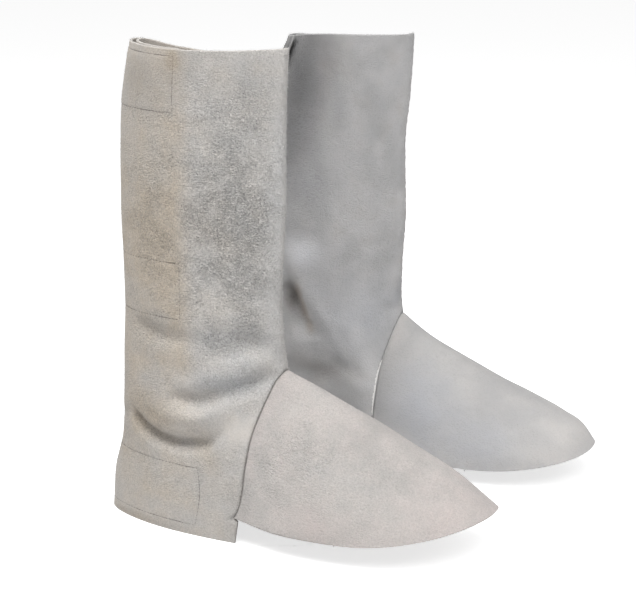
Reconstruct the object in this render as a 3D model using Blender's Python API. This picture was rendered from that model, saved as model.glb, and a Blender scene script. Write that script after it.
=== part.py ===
"""A pair of welder's leather leg guards, standing side by side with the hollow form they have when worn.

Each guard is cut and sewn from a leg panel and a vamp. The leg panel wraps round the leg and laps
over itself behind. The vamp is the toe flap, sewn into the notch in the panel's front. Three pairs of
hook and loop tape lie in the lap and close it.

Shapes are worked out in millimetres in each guard's own axes: x runs from the heel to the toes, y to
the wearer's left and z up from the floor. Meshes are in metres, about the middle of the pair's
footprint, +Z up.
"""

from __future__ import annotations

import math
from dataclasses import dataclass
from typing import NamedTuple

import bpy
import numpy as np

MM = 0.001

# Leather, tape and seams
WALL = 1.8  # thickness of the split leather
SEAM_GAP = 0.3  # between two pieces that are sewn together
TAPE = 1.1  # thickness of a hook tape, and of a loop tape

# One guard
HEIGHT = 360.0  # from the floor to the rim
NOTCH_TOP = 124.0  # height of the instep, where the notch ends
NOTCH_FOOT = 19.5  # height of the seam's lower end, above the sole of the boot
NOTCH_POWER = 0.8  # how fast the notch widens below the instep: less is slower
HEM_TAB = 4.0  # how far the panel's front corner stands forward under the vamp
SLUMP_FROM = 80.0  # the leather settles round the ankle from this height
SLUMP_TO = 220.0  # to this one
LEAN_FROM = 270.0  # the rim leans from this height up
TOE = 297.0  # from the heel to the tip of the vamp
BALL = 201.0  # from the heel to where the foot is widest
BALL_HALF_WIDTH = 56.0
MID_HALF_WIDTH = 54.0  # half way from the seam to the ball
TOE_ROUNDNESS = 2.2  # exponent of the toe's outline: 2 is an ellipse, more is squarer
TOE_INWARD = 13.5  # how far the toe's tip lies towards the other foot

# The lap behind the leg, in degrees from the front, positive to the outer side
# Columns behind the notch
BACK_TURNS = (96, 108, 120, 132, 144, 156, 168, 174, 180, 186, 192, 204, 216, 228, 240, 252, 264)
OVER_EDGE = 216.0  # free edge of the upper flap, on the inner side
UNDER_EDGE = -264.0  # free edge of the flap below it, on the outer side
UNDER_FROM = -112.0  # where the lower flap starts to tuck in
UNDER_TO = -140.0  # where it is tucked in by its whole depth

# Grid of the meshes
DEGREE = 0.72  # about how far one degree is round the leg, in mm, where the seam's rows are spaced out
NOTCH_ROWS = 16
UPPER_ROWS = 12
FRONT_COLUMNS = 7
VAMP_ROWS = 12


class Section(NamedTuple):
    """One level of the leg panel, seen from above. Lengths are from the back of the heel."""

    height: float
    back: float
    front: float
    half_width: float
    widest: float  # how far forward the section is widest
    fold: float  # 0 is a round front, towards 1 a pressed fold


class RidgePoint(NamedTuple):
    """A point of the vamp's top line: its share of the way to the tip, and of the instep's height."""

    along: float
    rise: float


class Fold(NamedTuple):
    """A soft trough or ridge in the leg panel, along an arc from one place to another."""

    from_turn: float  # degrees from the front, positive to the outer side
    from_height: float
    to_turn: float
    to_height: float
    sag: float  # how far the middle of the arc hangs below its ends
    half_width: float
    rise: float  # below 0 in a trough


class Strip(NamedTuple):
    """One hook and loop fastening in the lap."""

    name: str
    bottom: float
    top: float


STRIPS = (
    Strip(name="top", bottom=314, top=356),
    Strip(name="middle", bottom=164, top=204),
    Strip(name="bottom", bottom=8, top=54),
)


@dataclass(frozen=True)
class Guard:
    """One leg guard of the pair: what differs between the right one and the left one."""

    name: str
    outer_side: int  # -1 where the outer side faces -y, on the right foot, and 1 on the left
    heel: tuple[float, float]  # where the heel stands
    toe_out: float  # degrees that the toes turn outwards
    hem_height: float  # of the vamp's hem, at the ball of the foot
    toe_height: float  # of the vamp's hem, at the tip
    slump: float  # how far the rim has sunk, by the leather settling round the ankle
    rim_dips: tuple[float, float, float]  # how much lower the rim is outside, inside and behind
    sections: tuple[Section, ...]
    ridge: tuple[RidgePoint, ...]
    folds: tuple[Fold, ...]


RIGHT = Guard(
    name="right",
    outer_side=-1,
    heel=(0.0, 0.0),
    toe_out=5.5,
    hem_height=17.5,
    toe_height=35.5,
    slump=0.0,
    rim_dips=(0.0, 8.0, 0.0),
    sections=(
        Section(height=0, back=-11, front=175, half_width=40.5, widest=115, fold=0.0),
        Section(height=30, back=-8, front=166, half_width=40.5, widest=112, fold=0.0),
        Section(height=60, back=0, front=156, half_width=40.5, widest=99, fold=0.0),
        Section(height=90, back=2, front=147, half_width=39.5, widest=83, fold=0.1),
        Section(height=124, back=3, front=137, half_width=37.5, widest=76, fold=0.2),
        Section(height=160, back=5, front=134, half_width=36.0, widest=72, fold=0.35),
        Section(height=250, back=4, front=137, half_width=35.5, widest=70, fold=0.4),
        Section(height=310, back=6, front=138, half_width=34.5, widest=71, fold=0.4),
        Section(height=360, back=14, front=140, half_width=33.0, widest=73, fold=0.4),
    ),
    ridge=(
        RidgePoint(along=0.00, rise=1.00),
        RidgePoint(along=0.12, rise=0.926),
        RidgePoint(along=0.30, rise=0.817),
        RidgePoint(along=0.50, rise=0.668),
        RidgePoint(along=0.70, rise=0.47),
        RidgePoint(along=0.85, rise=0.273),
        RidgePoint(along=0.95, rise=0.1),
        RidgePoint(along=1.00, rise=0.00),
    ),
    folds=(
        # Outer side: the deep crease above the heel, the roll above it, and the trough up to the instep
        Fold(from_turn=146, from_height=88, to_turn=64, to_height=92, sag=20, half_width=6, rise=-5.0),
        Fold(from_turn=122, from_height=93, to_turn=64, to_height=106, sag=9, half_width=6, rise=2.6),
        Fold(from_turn=110, from_height=100, to_turn=14, to_height=122, sag=-2, half_width=6, rise=-2.6),
        Fold(from_turn=138, from_height=156, to_turn=80, to_height=148, sag=4, half_width=8, rise=-1.6),
        Fold(from_turn=52, from_height=152, to_turn=20, to_height=146, sag=3, half_width=9, rise=-1.4),
        # Inner side
        Fold(from_turn=-132, from_height=90, to_turn=-66, to_height=97, sag=15, half_width=7, rise=-3.6),
        Fold(from_turn=-98, from_height=112, to_turn=-20, to_height=124, sag=2, half_width=7, rise=-2.2),
        Fold(from_turn=-120, from_height=206, to_turn=-74, to_height=196, sag=5, half_width=10, rise=-1.4),
    ),
)

LEFT = Guard(
    name="left",
    outer_side=1,
    heel=(27.0, 166.0),
    toe_out=5.5,
    hem_height=13.5,
    toe_height=28.0,
    slump=9.0,
    rim_dips=(13.0, 0.0, 4.0),
    sections=(
        Section(height=0, back=-11, front=175, half_width=40.5, widest=115, fold=0.0),
        Section(height=30, back=-8, front=166, half_width=40.5, widest=112, fold=0.0),
        Section(height=60, back=0, front=156, half_width=40.5, widest=99, fold=0.0),
        Section(height=90, back=2, front=147, half_width=39.5, widest=83, fold=0.1),
        Section(height=124, back=3, front=137, half_width=37.5, widest=76, fold=0.2),
        Section(height=160, back=6, front=136, half_width=36.5, widest=72, fold=0.35),
        Section(height=212, back=9, front=138, half_width=37.0, widest=75, fold=0.35),
        Section(height=280, back=16, front=137.5, half_width=38.0, widest=80, fold=0.3),
        Section(height=310, back=23, front=140.5, half_width=38.5, widest=84, fold=0.3),
        Section(height=360, back=42, front=143, half_width=39.0, widest=92, fold=0.25),
    ),
    ridge=(
        RidgePoint(along=0.00, rise=1.00),
        RidgePoint(along=0.12, rise=0.875),
        RidgePoint(along=0.30, rise=0.734),
        RidgePoint(along=0.50, rise=0.597),
        RidgePoint(along=0.70, rise=0.437),
        RidgePoint(along=0.85, rise=0.287),
        RidgePoint(along=0.95, rise=0.141),
        RidgePoint(along=1.00, rise=0.00),
    ),
    folds=(
        # Inner side: a ledge, the steep trough below it, the roll beside that, and the heel's trough
        Fold(from_turn=-122, from_height=199, to_turn=-84, to_height=196, sag=2, half_width=8, rise=-2.6),
        Fold(from_turn=-116, from_height=176, to_turn=-91, to_height=112, sag=0, half_width=16, rise=-4.0),
        Fold(from_turn=-104, from_height=158, to_turn=-70, to_height=92, sag=-4, half_width=14, rise=2.2),
        Fold(from_turn=-128, from_height=86, to_turn=-66, to_height=88, sag=6, half_width=8, rise=-4.2),
        # Outer side
        Fold(from_turn=140, from_height=92, to_turn=70, to_height=97, sag=15, half_width=7, rise=-4.4),
        Fold(from_turn=104, from_height=108, to_turn=24, to_height=124, sag=1, half_width=7, rise=-2.4),
        Fold(from_turn=132, from_height=158, to_turn=86, to_height=150, sag=4, half_width=9, rise=-1.8),
    ),
)

PAIR = (RIGHT, LEFT)


class Finish(NamedTuple):
    """Colour (linear), roughness and metallic value of one material."""

    colour: tuple[float, float, float, float]
    roughness: float
    metallic: float


LEATHER = Finish(colour=(0.49, 0.46, 0.43, 1.0), roughness=0.95, metallic=0.0)
TAPE_CLOTH = Finish(colour=(0.05, 0.05, 0.05, 1.0), roughness=0.8, metallic=0.0)


# Curves and grids


def curve_through(knots, values, at):
    """Values at the given places on a smooth curve through the knots: a cubic between each two of them."""
    knots = np.asarray(knots, float)
    values = np.asarray(values, float)
    at = np.clip(np.asarray(at, float), knots[0], knots[-1])
    slopes = np.gradient(values, knots)
    i = np.clip(np.searchsorted(knots, at, side="right") - 1, 0, len(knots) - 2)
    step = knots[i + 1] - knots[i]
    t = (at - knots[i]) / step
    start = values[i] * (2 * t**3 - 3 * t**2 + 1) + step * slopes[i] * (t**3 - 2 * t**2 + t)
    end = values[i + 1] * (3 * t**2 - 2 * t**3) + step * slopes[i + 1] * (t**3 - t**2)
    return start + end


def ease(at, start, end):
    """0 before start, 1 after end, and a smooth step between them."""
    t = np.clip((np.asarray(at, float) - start) / (end - start), 0.0, 1.0)
    return t * t * (3.0 - 2.0 * t)


def unit(vectors):
    """The vectors, each made one long."""
    return vectors / np.linalg.norm(vectors, axis=-1, keepdims=True)


# The leg panel's surface


def section_point(guard, turn, height):
    """Place of a point on the panel's smooth outer surface, with y positive to the outer side.

    Both halves of a level are half ellipses, and the front one is pinched towards the front by its fold.
    """
    columns = zip(*guard.sections)
    heights = next(columns)
    back, front, half_width, widest, fold = (curve_through(heights, column, height) for column in columns)
    cosine = np.cos(np.radians(turn))
    sine = np.sin(np.radians(turn))
    reach = np.where(cosine > 0, front - widest, widest - back)
    pinch = np.where(cosine > 0, 1.0 - fold * cosine**2, 1.0)
    return np.stack([widest + reach * cosine, half_width * sine * pinch], -1)


def outward(guard, turn, height):
    """Level direction out of the panel's surface, square to it, with y positive to the outer side."""
    step = 0.5
    along = section_point(guard, turn + step, height) - section_point(guard, turn - step, height)
    return unit(np.stack([along[..., 1], -along[..., 0]], -1))


def fold_rise(folds, turn, height):
    """How far the folds lift the surface: each is a bell across its arc, and fades out at both ends."""
    rise = np.zeros(np.broadcast(turn, height).shape)
    for fold in folds:
        middle = (fold.from_turn + fold.to_turn) / 2
        near = middle + (turn - middle + 180.0) % 360.0 - 180.0
        share = np.clip((near - fold.from_turn) / (fold.to_turn - fold.from_turn), 0.0, 1.0)
        chord = fold.from_height + (fold.to_height - fold.from_height) * share
        arc = chord - fold.sag * 4 * share * (1 - share)
        across = np.exp(-(((height - arc) / fold.half_width) ** 2))
        rise = rise + fold.rise * across * np.sin(math.pi * share) ** 0.8
    return rise


def panel_point(guard, turn, height, depth=0.0):
    """Point of the panel, that far below its outer surface, after the leg's slump and the rim's lean."""
    turn, height, depth = np.broadcast_arrays(*(np.asarray(v, float) for v in (turn, height, depth)))
    flat = section_point(guard, turn, height)
    out = outward(guard, turn, height)
    level = flat + out * (fold_rise(guard.folds, turn, height) - depth)[..., None]
    sine = np.sin(np.radians(turn))
    cosine = np.cos(np.radians(turn))
    dip_outer, dip_inner, dip_back = guard.rim_dips
    dip = np.where(sine > 0, dip_outer, dip_inner) * sine**2
    dip = dip + np.where(cosine < 0, dip_back, 0.0) * cosine**2
    sunk = guard.slump * ease(height, SLUMP_FROM, SLUMP_TO) + dip * ease(height, LEAN_FROM, HEIGHT)
    return np.stack([level[..., 0], guard.outer_side * level[..., 1], height - sunk], -1)


def lap_depth(turn):
    """How deep the panel lies at that turn: the lower flap tucks in under the tapes and the upper flap."""
    full = WALL + 2 * TAPE + 3 * SEAM_GAP
    return full * ease(-np.asarray(turn, float), -UNDER_FROM, -UNDER_TO)


# The notch in the panel's front, and the seam round it


def notch_turn(height):
    """How far round from the front the notch reaches: 0 degrees at the instep, 90 at its foot."""
    share = np.clip((height - NOTCH_FOOT) / (NOTCH_TOP - NOTCH_FOOT), 0.0, 1.0)
    return 90.0 * np.sqrt(1.0 - share**NOTCH_POWER)


def notch_height(turn):
    """The height at which the notch reaches that far round: the reverse of notch_turn."""
    share = (1.0 - (turn / 90.0) ** 2) ** (1.0 / NOTCH_POWER)
    return NOTCH_FOOT + share * (NOTCH_TOP - NOTCH_FOOT)


def seam_rows():
    """Turns and heights of points spaced evenly along one side of the notch, from foot to instep."""
    fine_turns = np.linspace(90.0, 0.0, 400)
    fine_heights = notch_height(fine_turns)
    steps = np.hypot(np.diff(fine_turns) * DEGREE, np.diff(fine_heights))
    length = np.concatenate([[0.0], np.cumsum(steps)])
    turns = np.interp(np.linspace(0.0, length[-1], NOTCH_ROWS), length, fine_turns)
    return turns, notch_height(turns)


# Meshes


def make_object(name, points, faces, finish, smooth_angle=50.0):
    """A named object from points in millimetres and faces, with its own material."""
    mesh = bpy.data.meshes.new(name)
    mesh.from_pydata((points * MM).tolist(), [], [list(map(int, face)) for face in faces])
    mesh.validate()
    mesh.shade_smooth()
    mesh.set_sharp_from_angle(angle=math.radians(smooth_angle))
    material = bpy.data.materials.new(name)
    material.use_nodes = True
    surface = material.node_tree.nodes["Principled BSDF"]
    surface.inputs["Base Color"].default_value = finish.colour
    surface.inputs["Roughness"].default_value = finish.roughness
    surface.inputs["Metallic"].default_value = finish.metallic
    mesh.materials.append(material)
    made = bpy.data.objects.new(name, mesh)
    bpy.context.scene.collection.objects.link(made)
    return made


def wall_faces(outside, count):
    """Triangles of a closed wall: the given ones outside, their reverse inside, and strips at free edges.

    Outer points are numbered from 0 and the inner point below each one is its number plus count.
    """
    edges = np.concatenate([outside[:, [i, (i + 1) % 3]] for i in range(3)])
    seen = {tuple(edge) for edge in edges.tolist()}
    start, end = np.array([edge for edge in edges.tolist() if (edge[1], edge[0]) not in seen]).T
    strips = np.concatenate(
        [np.stack([end, start, start + count], 1), np.stack([end, start + count, end + count], 1)]
    )
    return np.concatenate([outside, outside[:, ::-1] + count, strips])


def grid_triangles(numbers):
    """Two triangles between each four neighbours of a grid of point numbers, split from first to last."""
    low, low_next = numbers[:-1, :-1].ravel(), numbers[:-1, 1:].ravel()
    high, high_next = numbers[1:, :-1].ravel(), numbers[1:, 1:].ravel()
    return np.concatenate([np.stack([low, low_next, high_next], 1), np.stack([low, high_next, high], 1)])


def place(guard, points):
    """The guard's points, turned and moved to where it stands."""
    angle = math.radians(guard.toe_out * guard.outer_side)
    turned = np.array([[math.cos(angle), math.sin(angle)], [-math.sin(angle), math.cos(angle)]])
    placed = points.copy()
    placed[..., :2] = points[..., :2] @ turned + np.array(guard.heel)
    return placed


def facing_out(guard, faces):
    """The faces, reversed on the guard whose outer side faces the other way."""
    return faces if guard.outer_side > 0 else faces[:, ::-1]


def panel_heights():
    """Heights of the panel's rows, and the number of the row at the instep."""
    _, seam_heights = seam_rows()
    below = np.array([0.0, STRIPS[2].bottom, NOTCH_FOOT - 2.0])
    above = np.linspace(NOTCH_TOP, HEIGHT, UPPER_ROWS + 1)[1:]
    edges = np.array([edge for strip in STRIPS[:2] for edge in (strip.bottom, strip.top)])
    nearest = np.abs(above[:-1, None] - edges).argmin(0)
    above[nearest] = edges
    return np.concatenate([below, seam_heights, above]), len(below) + len(seam_heights) - 1


def panel_turns(heights, last_turn):
    """Turns of the columns from the front of each row to a free edge of the lap.

    Columns spread from the notch to the first fixed turn, and stand at fixed turns behind it.
    """
    side = math.copysign(1.0, last_turn)
    front = np.linspace(0.0, 1.0, FRONT_COLUMNS)[None, :]
    start = np.where(heights < NOTCH_TOP, notch_turn(heights), 0.0)[:, None]
    spread = start + (BACK_TURNS[0] - start) * front
    behind = np.array([[turn for turn in BACK_TURNS[1:] if turn <= abs(last_turn)]], float)
    return side * np.concatenate([spread, np.repeat(behind, len(heights), 0)], 1)


def stand_forward(points, heights, guard):
    """The panel's points with its front corners moved forward below the seam, under the vamp."""
    moved = points.copy()
    below = heights < NOTCH_FOOT
    reach = HEM_TAB * heights[below] / NOTCH_FOOT
    moved[below, 0, 0] += reach
    return moved


def leg_panel(guard):
    """The leg panel: one piece from the lap's upper edge, round the front, to its lower edge."""
    heights, instep = panel_heights()
    outer_grids = []
    inner_grids = []
    number_grids = []
    count = 0
    for last_turn in (OVER_EDGE, UNDER_EDGE):
        turns = panel_turns(heights, last_turn)
        tall = np.repeat(heights[:, None], turns.shape[1], 1)
        depth = lap_depth(turns)
        outer_grids.append(stand_forward(panel_point(guard, turns, tall, depth), heights, guard))
        inner_grids.append(stand_forward(panel_point(guard, turns, tall, depth + WALL), heights, guard))
        number_grids.append(np.arange(turns.size).reshape(turns.shape) + count)
        count += turns.size
    number_grids[1][instep:, 0] = number_grids[0][instep:, 0]
    outer = np.concatenate([grid.reshape(-1, 3) for grid in outer_grids])
    inner = np.concatenate([grid.reshape(-1, 3) for grid in inner_grids])
    under, over = number_grids[1][:, ::-1], number_grids[0]
    both = np.concatenate([grid_triangles(under), grid_triangles(over)])
    used, outside = np.unique(both, return_inverse=True)
    points = np.concatenate([outer[used], inner[used]])
    return points, facing_out(guard, wall_faces(outside.reshape(-1, 3), len(used)))


def vamp_grid(guard):
    """The vamp's outer points, in arches that lean forward, from the seam over the foot to the toe.

    The first arch is the seam's own outline and the last is the round of the toe. Those between are mixed
    from the two, and each has its own place, lean, width and height.
    """
    turns, heights = seam_rows()
    across = np.concatenate([turns / 90.0, -turns[::-1][1:] / 90.0])
    tall = np.concatenate([heights, heights[::-1][1:]])
    seam = panel_point(guard, across * 90.0, tall)
    foot = panel_point(guard, 90.0, NOTCH_FOOT)
    instep = panel_point(guard, 0.0, NOTCH_TOP)
    lean = (seam[:, 0] - foot[0]) / (instep[0] - foot[0])
    side = seam[:, 1] / foot[1]
    rise = (seam[:, 2] - foot[2]) / (instep[2] - foot[2])
    angle = across * math.pi / 2
    power = 2.0 / TOE_ROUNDNESS
    toe_lean = np.cos(angle).clip(0) ** power
    toe_side = np.sign(angle) * np.abs(np.sin(angle)) ** power
    toe_rise = np.cos(angle).clip(0) ** 0.6
    rows = 1.0 - (1.0 - np.linspace(0.0, 1.0, VAMP_ROWS)) ** 1.5
    u = rows[:, None]
    start = foot[0] + (BALL - foot[0]) * u
    length = (instep[0] - foot[0]) * (1 - u) + (TOE - BALL) * u
    half_width = curve_through([0, 0.5, 1], [abs(foot[1]), MID_HALF_WIDTH, BALL_HALF_WIDTH], u)
    ridge = curve_through([p.along for p in guard.ridge], [p.rise for p in guard.ridge], u)
    hem = curve_through([0, 0.5, 1], [NOTCH_FOOT, guard.hem_height, guard.hem_height], u)
    x = start + length * ((1 - u) * lean + u * toe_lean)
    y = guard.outer_side * half_width * ((1 - u) * side + u * toe_side)
    z = hem + (instep[2] - foot[2]) * ridge * ((1 - u) * rise + u * toe_rise)
    forward = ((x - BALL) / (TOE - BALL)).clip(0)
    z = z + (guard.toe_height - guard.hem_height) * u * forward**2
    y = y - guard.outer_side * TOE_INWARD * ((x - foot[0]) / (TOE - foot[0])) ** 2
    return np.stack([x, y, z], -1), across


def grid_normals(grid):
    """Directions out of a grid's surface, from its neighbours along and across."""
    normals = np.cross(np.gradient(grid, axis=0), np.gradient(grid, axis=1))
    return unit(normals)


def vamp(guard):
    """The vamp: its back edge runs along the notch, a seam's gap away, and its hem round the boot."""
    outer, across = vamp_grid(guard)
    turns = across * 90.0
    out = outward(guard, turns, notch_height(np.abs(turns)))
    out = np.stack([out[:, 0], guard.outer_side * out[:, 1], np.zeros(len(out))], -1)
    along = unit(np.gradient(outer[0], axis=0))
    away = unit(np.cross(out, along)) * guard.outer_side
    normals = -grid_normals(outer) * guard.outer_side
    normals[0] = out
    outer[0] += away * SEAM_GAP
    inner = outer - normals * WALL
    count = outer.size // 3
    outside = grid_triangles(np.arange(count).reshape(outer.shape[:2]))
    points = np.concatenate([outer.reshape(-1, 3), inner.reshape(-1, 3)])
    return points, facing_out(guard, wall_faces(outside, count))


def tape(guard, strip, depth):
    """A tape in the lap, with its face that far below the panel's outer surface."""
    heights, _ = panel_heights()
    tall = heights[(heights >= strip.bottom - 0.01) & (heights <= strip.top + 0.01)]
    turns = np.array([turn for turn in BACK_TURNS if turn < OVER_EDGE], float)
    grid = np.meshgrid(turns, tall)
    outer = panel_point(guard, grid[0], grid[1], depth)
    inner = panel_point(guard, grid[0], grid[1], depth + TAPE)
    count = grid[0].size
    outside = grid_triangles(np.arange(count).reshape(grid[0].shape))
    points = np.concatenate([outer.reshape(-1, 3), inner.reshape(-1, 3)])
    return points, facing_out(guard, wall_faces(outside, count))


def guard_pieces(guard):
    """Names, points, faces and finishes of one guard's pieces, where it stands."""
    pieces = [
        (f"{guard.name}_leg_panel", *leg_panel(guard), LEATHER),
        (f"{guard.name}_vamp", *vamp(guard), LEATHER),
    ]
    for strip in STRIPS:
        hook_depth = WALL + SEAM_GAP
        loop_depth = hook_depth + TAPE + SEAM_GAP
        for kind, depth in (("hook", hook_depth), ("loop", loop_depth)):
            name = f"{guard.name}_{kind}_tape_{strip.name}"
            pieces.append((name, *tape(guard, strip, depth), TAPE_CLOTH))
    return [(name, place(guard, points), faces, finish) for name, points, faces, finish in pieces]


def footprint_middle(pieces):
    """The middle of all the pieces' box, at floor level."""
    points = np.concatenate([points for _, points, _, _ in pieces])
    middle = (points.min(0) + points.max(0)) / 2
    middle[2] = 0.0
    return middle


def build():
    """Makes every piece of both guards about the middle of the pair's footprint."""
    for old in list(bpy.data.objects):
        bpy.data.objects.remove(old)
    pieces = [piece for guard in PAIR for piece in guard_pieces(guard)]
    middle = footprint_middle(pieces)
    for name, points, faces, finish in pieces:
        make_object(name, points - middle, faces, finish)


build()
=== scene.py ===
"""Looks of a pair of welder's leather leg guards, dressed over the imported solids.

Lengths are worked out in millimetres in each guard's own axes: x runs from the heel to the toes, y to the
wearer's left and z up from the floor. Meshes are in metres, with the middle of the pair's footprint as the
origin. A turn is an angle round the leg, in degrees from the front, positive to the guard's outer side. A
height is in millimetres along the leather of the leg, from its hem. Rises and depths are in millimetres too.
"""

import logging
import math
from dataclasses import dataclass, replace
from enum import Enum
from typing import Iterable, NamedTuple

import bpy
import numpy as np
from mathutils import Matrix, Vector


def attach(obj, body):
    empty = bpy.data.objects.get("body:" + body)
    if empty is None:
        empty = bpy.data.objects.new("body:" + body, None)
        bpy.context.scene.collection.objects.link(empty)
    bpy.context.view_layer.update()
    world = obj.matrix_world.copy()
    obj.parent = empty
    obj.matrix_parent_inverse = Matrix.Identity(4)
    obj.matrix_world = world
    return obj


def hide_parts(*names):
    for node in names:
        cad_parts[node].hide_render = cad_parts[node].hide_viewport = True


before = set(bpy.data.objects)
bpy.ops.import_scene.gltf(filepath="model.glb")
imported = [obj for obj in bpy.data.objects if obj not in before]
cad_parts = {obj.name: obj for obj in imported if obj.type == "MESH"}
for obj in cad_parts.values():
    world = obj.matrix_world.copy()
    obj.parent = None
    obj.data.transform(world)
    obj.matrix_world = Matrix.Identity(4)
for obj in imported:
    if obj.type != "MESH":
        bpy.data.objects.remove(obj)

log = logging.getLogger("leg_guards")

Array = np.ndarray
Colour = tuple[float, float, float]
Place = tuple[float, float, float]
Material = bpy.types.Material
Socket = bpy.types.NodeSocket
Inputs = dict[str | int, object]  # a node's, by name or number

MM = 0.001
MIDDLE = np.array([156.4886, 83.0, 0.0])  # of the pair's footprint, in the right guard's axes

# Leather, tape and seams
WALL = 1.8
SEAM_GAP = 0.3
TAPE = 1.1
HOOK_DEPTH = WALL + SEAM_GAP
LOOP_DEPTH = HOOK_DEPTH + TAPE + SEAM_GAP
GROOVE = 0.12  # depth of a patch's stitched outline
GROOVE_WIDTH = 1.3
EDGE_ROUND = 0.35  # how far the middle of a cut edge stands out
EDGE_SHARE = 0.75  # how much of the edge's raw look the points beside it have
SEAM_ROLL = 0.7  # how deep both edges of the seam are drawn in
SEAM_ROLL_WIDTH = 1.0

# One guard, as its solids have it
HEIGHT = 360.0
NOTCH_TOP = 124.0
NOTCH_FOOT = 19.5
NOTCH_POWER = 0.8
HEM_TAB = 4.0
SLUMP_FROM = 80.0
SLUMP_TO = 220.0
LEAN_FROM = 270.0
TOE = 297.0
BALL = 201.0
BALL_HALF_WIDTH = 56.0
MID_HALF_WIDTH = 54.0
TOE_ROUNDNESS = 2.2
TOE_ARCH_POWER = 0.6  # how flat the toe's arch is on top
TOE_INWARD = 13.5
OVER_EDGE = 216.0
UNDER_EDGE = -264.0
UNDER_FROM = -112.0
UNDER_TO = -140.0
TAPE_TO = 204.0
DEGREE = 0.9  # about how far one degree is round the leg, in mm
SEAM_DEGREE = 0.72  # and along the notch
RIDGE_STEPS = (0.0, 0.12, 0.3, 0.5, 0.7, 0.85, 0.95, 1.0)  # shares of the way along the vamp's top line


class Side(Enum):
    """Which way the guard's outer side faces along y."""

    RIGHT = -1
    LEFT = 1


class Fastening(Enum):
    """Half of a hook and loop fastening, and how deep it lies in the lap."""

    HOOK = HOOK_DEPTH
    LOOP = LOOP_DEPTH


class Section(NamedTuple):
    """One level of the leg panel, seen from above. Lengths are from the back of the heel."""

    height: float
    back: float
    front: float
    half_width: float
    widest: float
    fold: float


class Fold(NamedTuple):
    """A large soft trough or ridge of the leg panel, which its solid has too."""

    from_turn: float
    from_height: float
    to_turn: float
    to_height: float
    sag: float
    half_width: float
    rise: float


class Crease(NamedTuple):
    """A finer trough or ridge: turn, height and share of the rise at points along it."""

    rise: float
    above: float  # how far it reaches upwards
    below: float  # and downwards
    path: tuple[tuple[float, float, float], ...]


class StainAndShade(NamedTuple):
    """A soft lighter or darker, smoother or rougher place of stain and painted shade: a bell round a turn and
    a height.
    """

    # Tone and warmth are partly the hide's own stains and partly painted shade and painted highlight.
    turn: float
    height: float
    over: float  # reach round the leg, in degrees
    up: float  # reach along it, in mm
    tone: float = 0.0  # below 0 for a darker and cooler place, partly stain and partly painted shade; above 0 partly painted highlight
    shag: float = 0.0  # above 0 where the nap stands up more
    # below 0 cooler: partly painted cool shade in the troughs
    warm: float = 0.0


class Mark(NamedTuple):
    """A soft place of the vamp's hide, its own tone and painted shade: a bell round a point x and z in the
    guard's own axes.
    """

    x: float
    z: float
    over: float
    up: float
    tone: float = 0.0
    shag: float = 0.0
    warm: float = 0.0


class Strip(NamedTuple):
    """One fastening of the lap, and the stitched patch that it makes."""

    name: str
    bottom: float
    top: float
    low_turn: float  # where its outer side's edge is, at the bottom
    high_turn: float  # and at the top
    degree: float  # how far one degree is there, in mm
    pad: float  # how far the patch stands out
    flat_width: float  # of the tape, in metres

    def edge_turn(self, height: Array) -> Array:
        """Turn of the outer side's edge at that height."""
        share = np.clip((np.asarray(height, float) - self.bottom) / (self.top - self.bottom), 0.0, 1.0)
        return self.low_turn + (self.high_turn - self.low_turn) * share


def rows(kind: type, *table: tuple) -> tuple:
    """The rows of a table, each as one of that kind."""
    return tuple(kind(*row) for row in table)


STRIPS = rows(
    Strip,  # name, bottom, top, low turn, high turn, degree, pad, flat width
    ("top", 314, 355, 96, 96.5, 1.1, 0.4, 0.083),
    ("middle", 163, 204.5, 92, 90.8, 1.15, 0.08, 0.095),
    ("bottom", 8, 53, 105.5, 100, 2, 0.08, 0.128),
)


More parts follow.
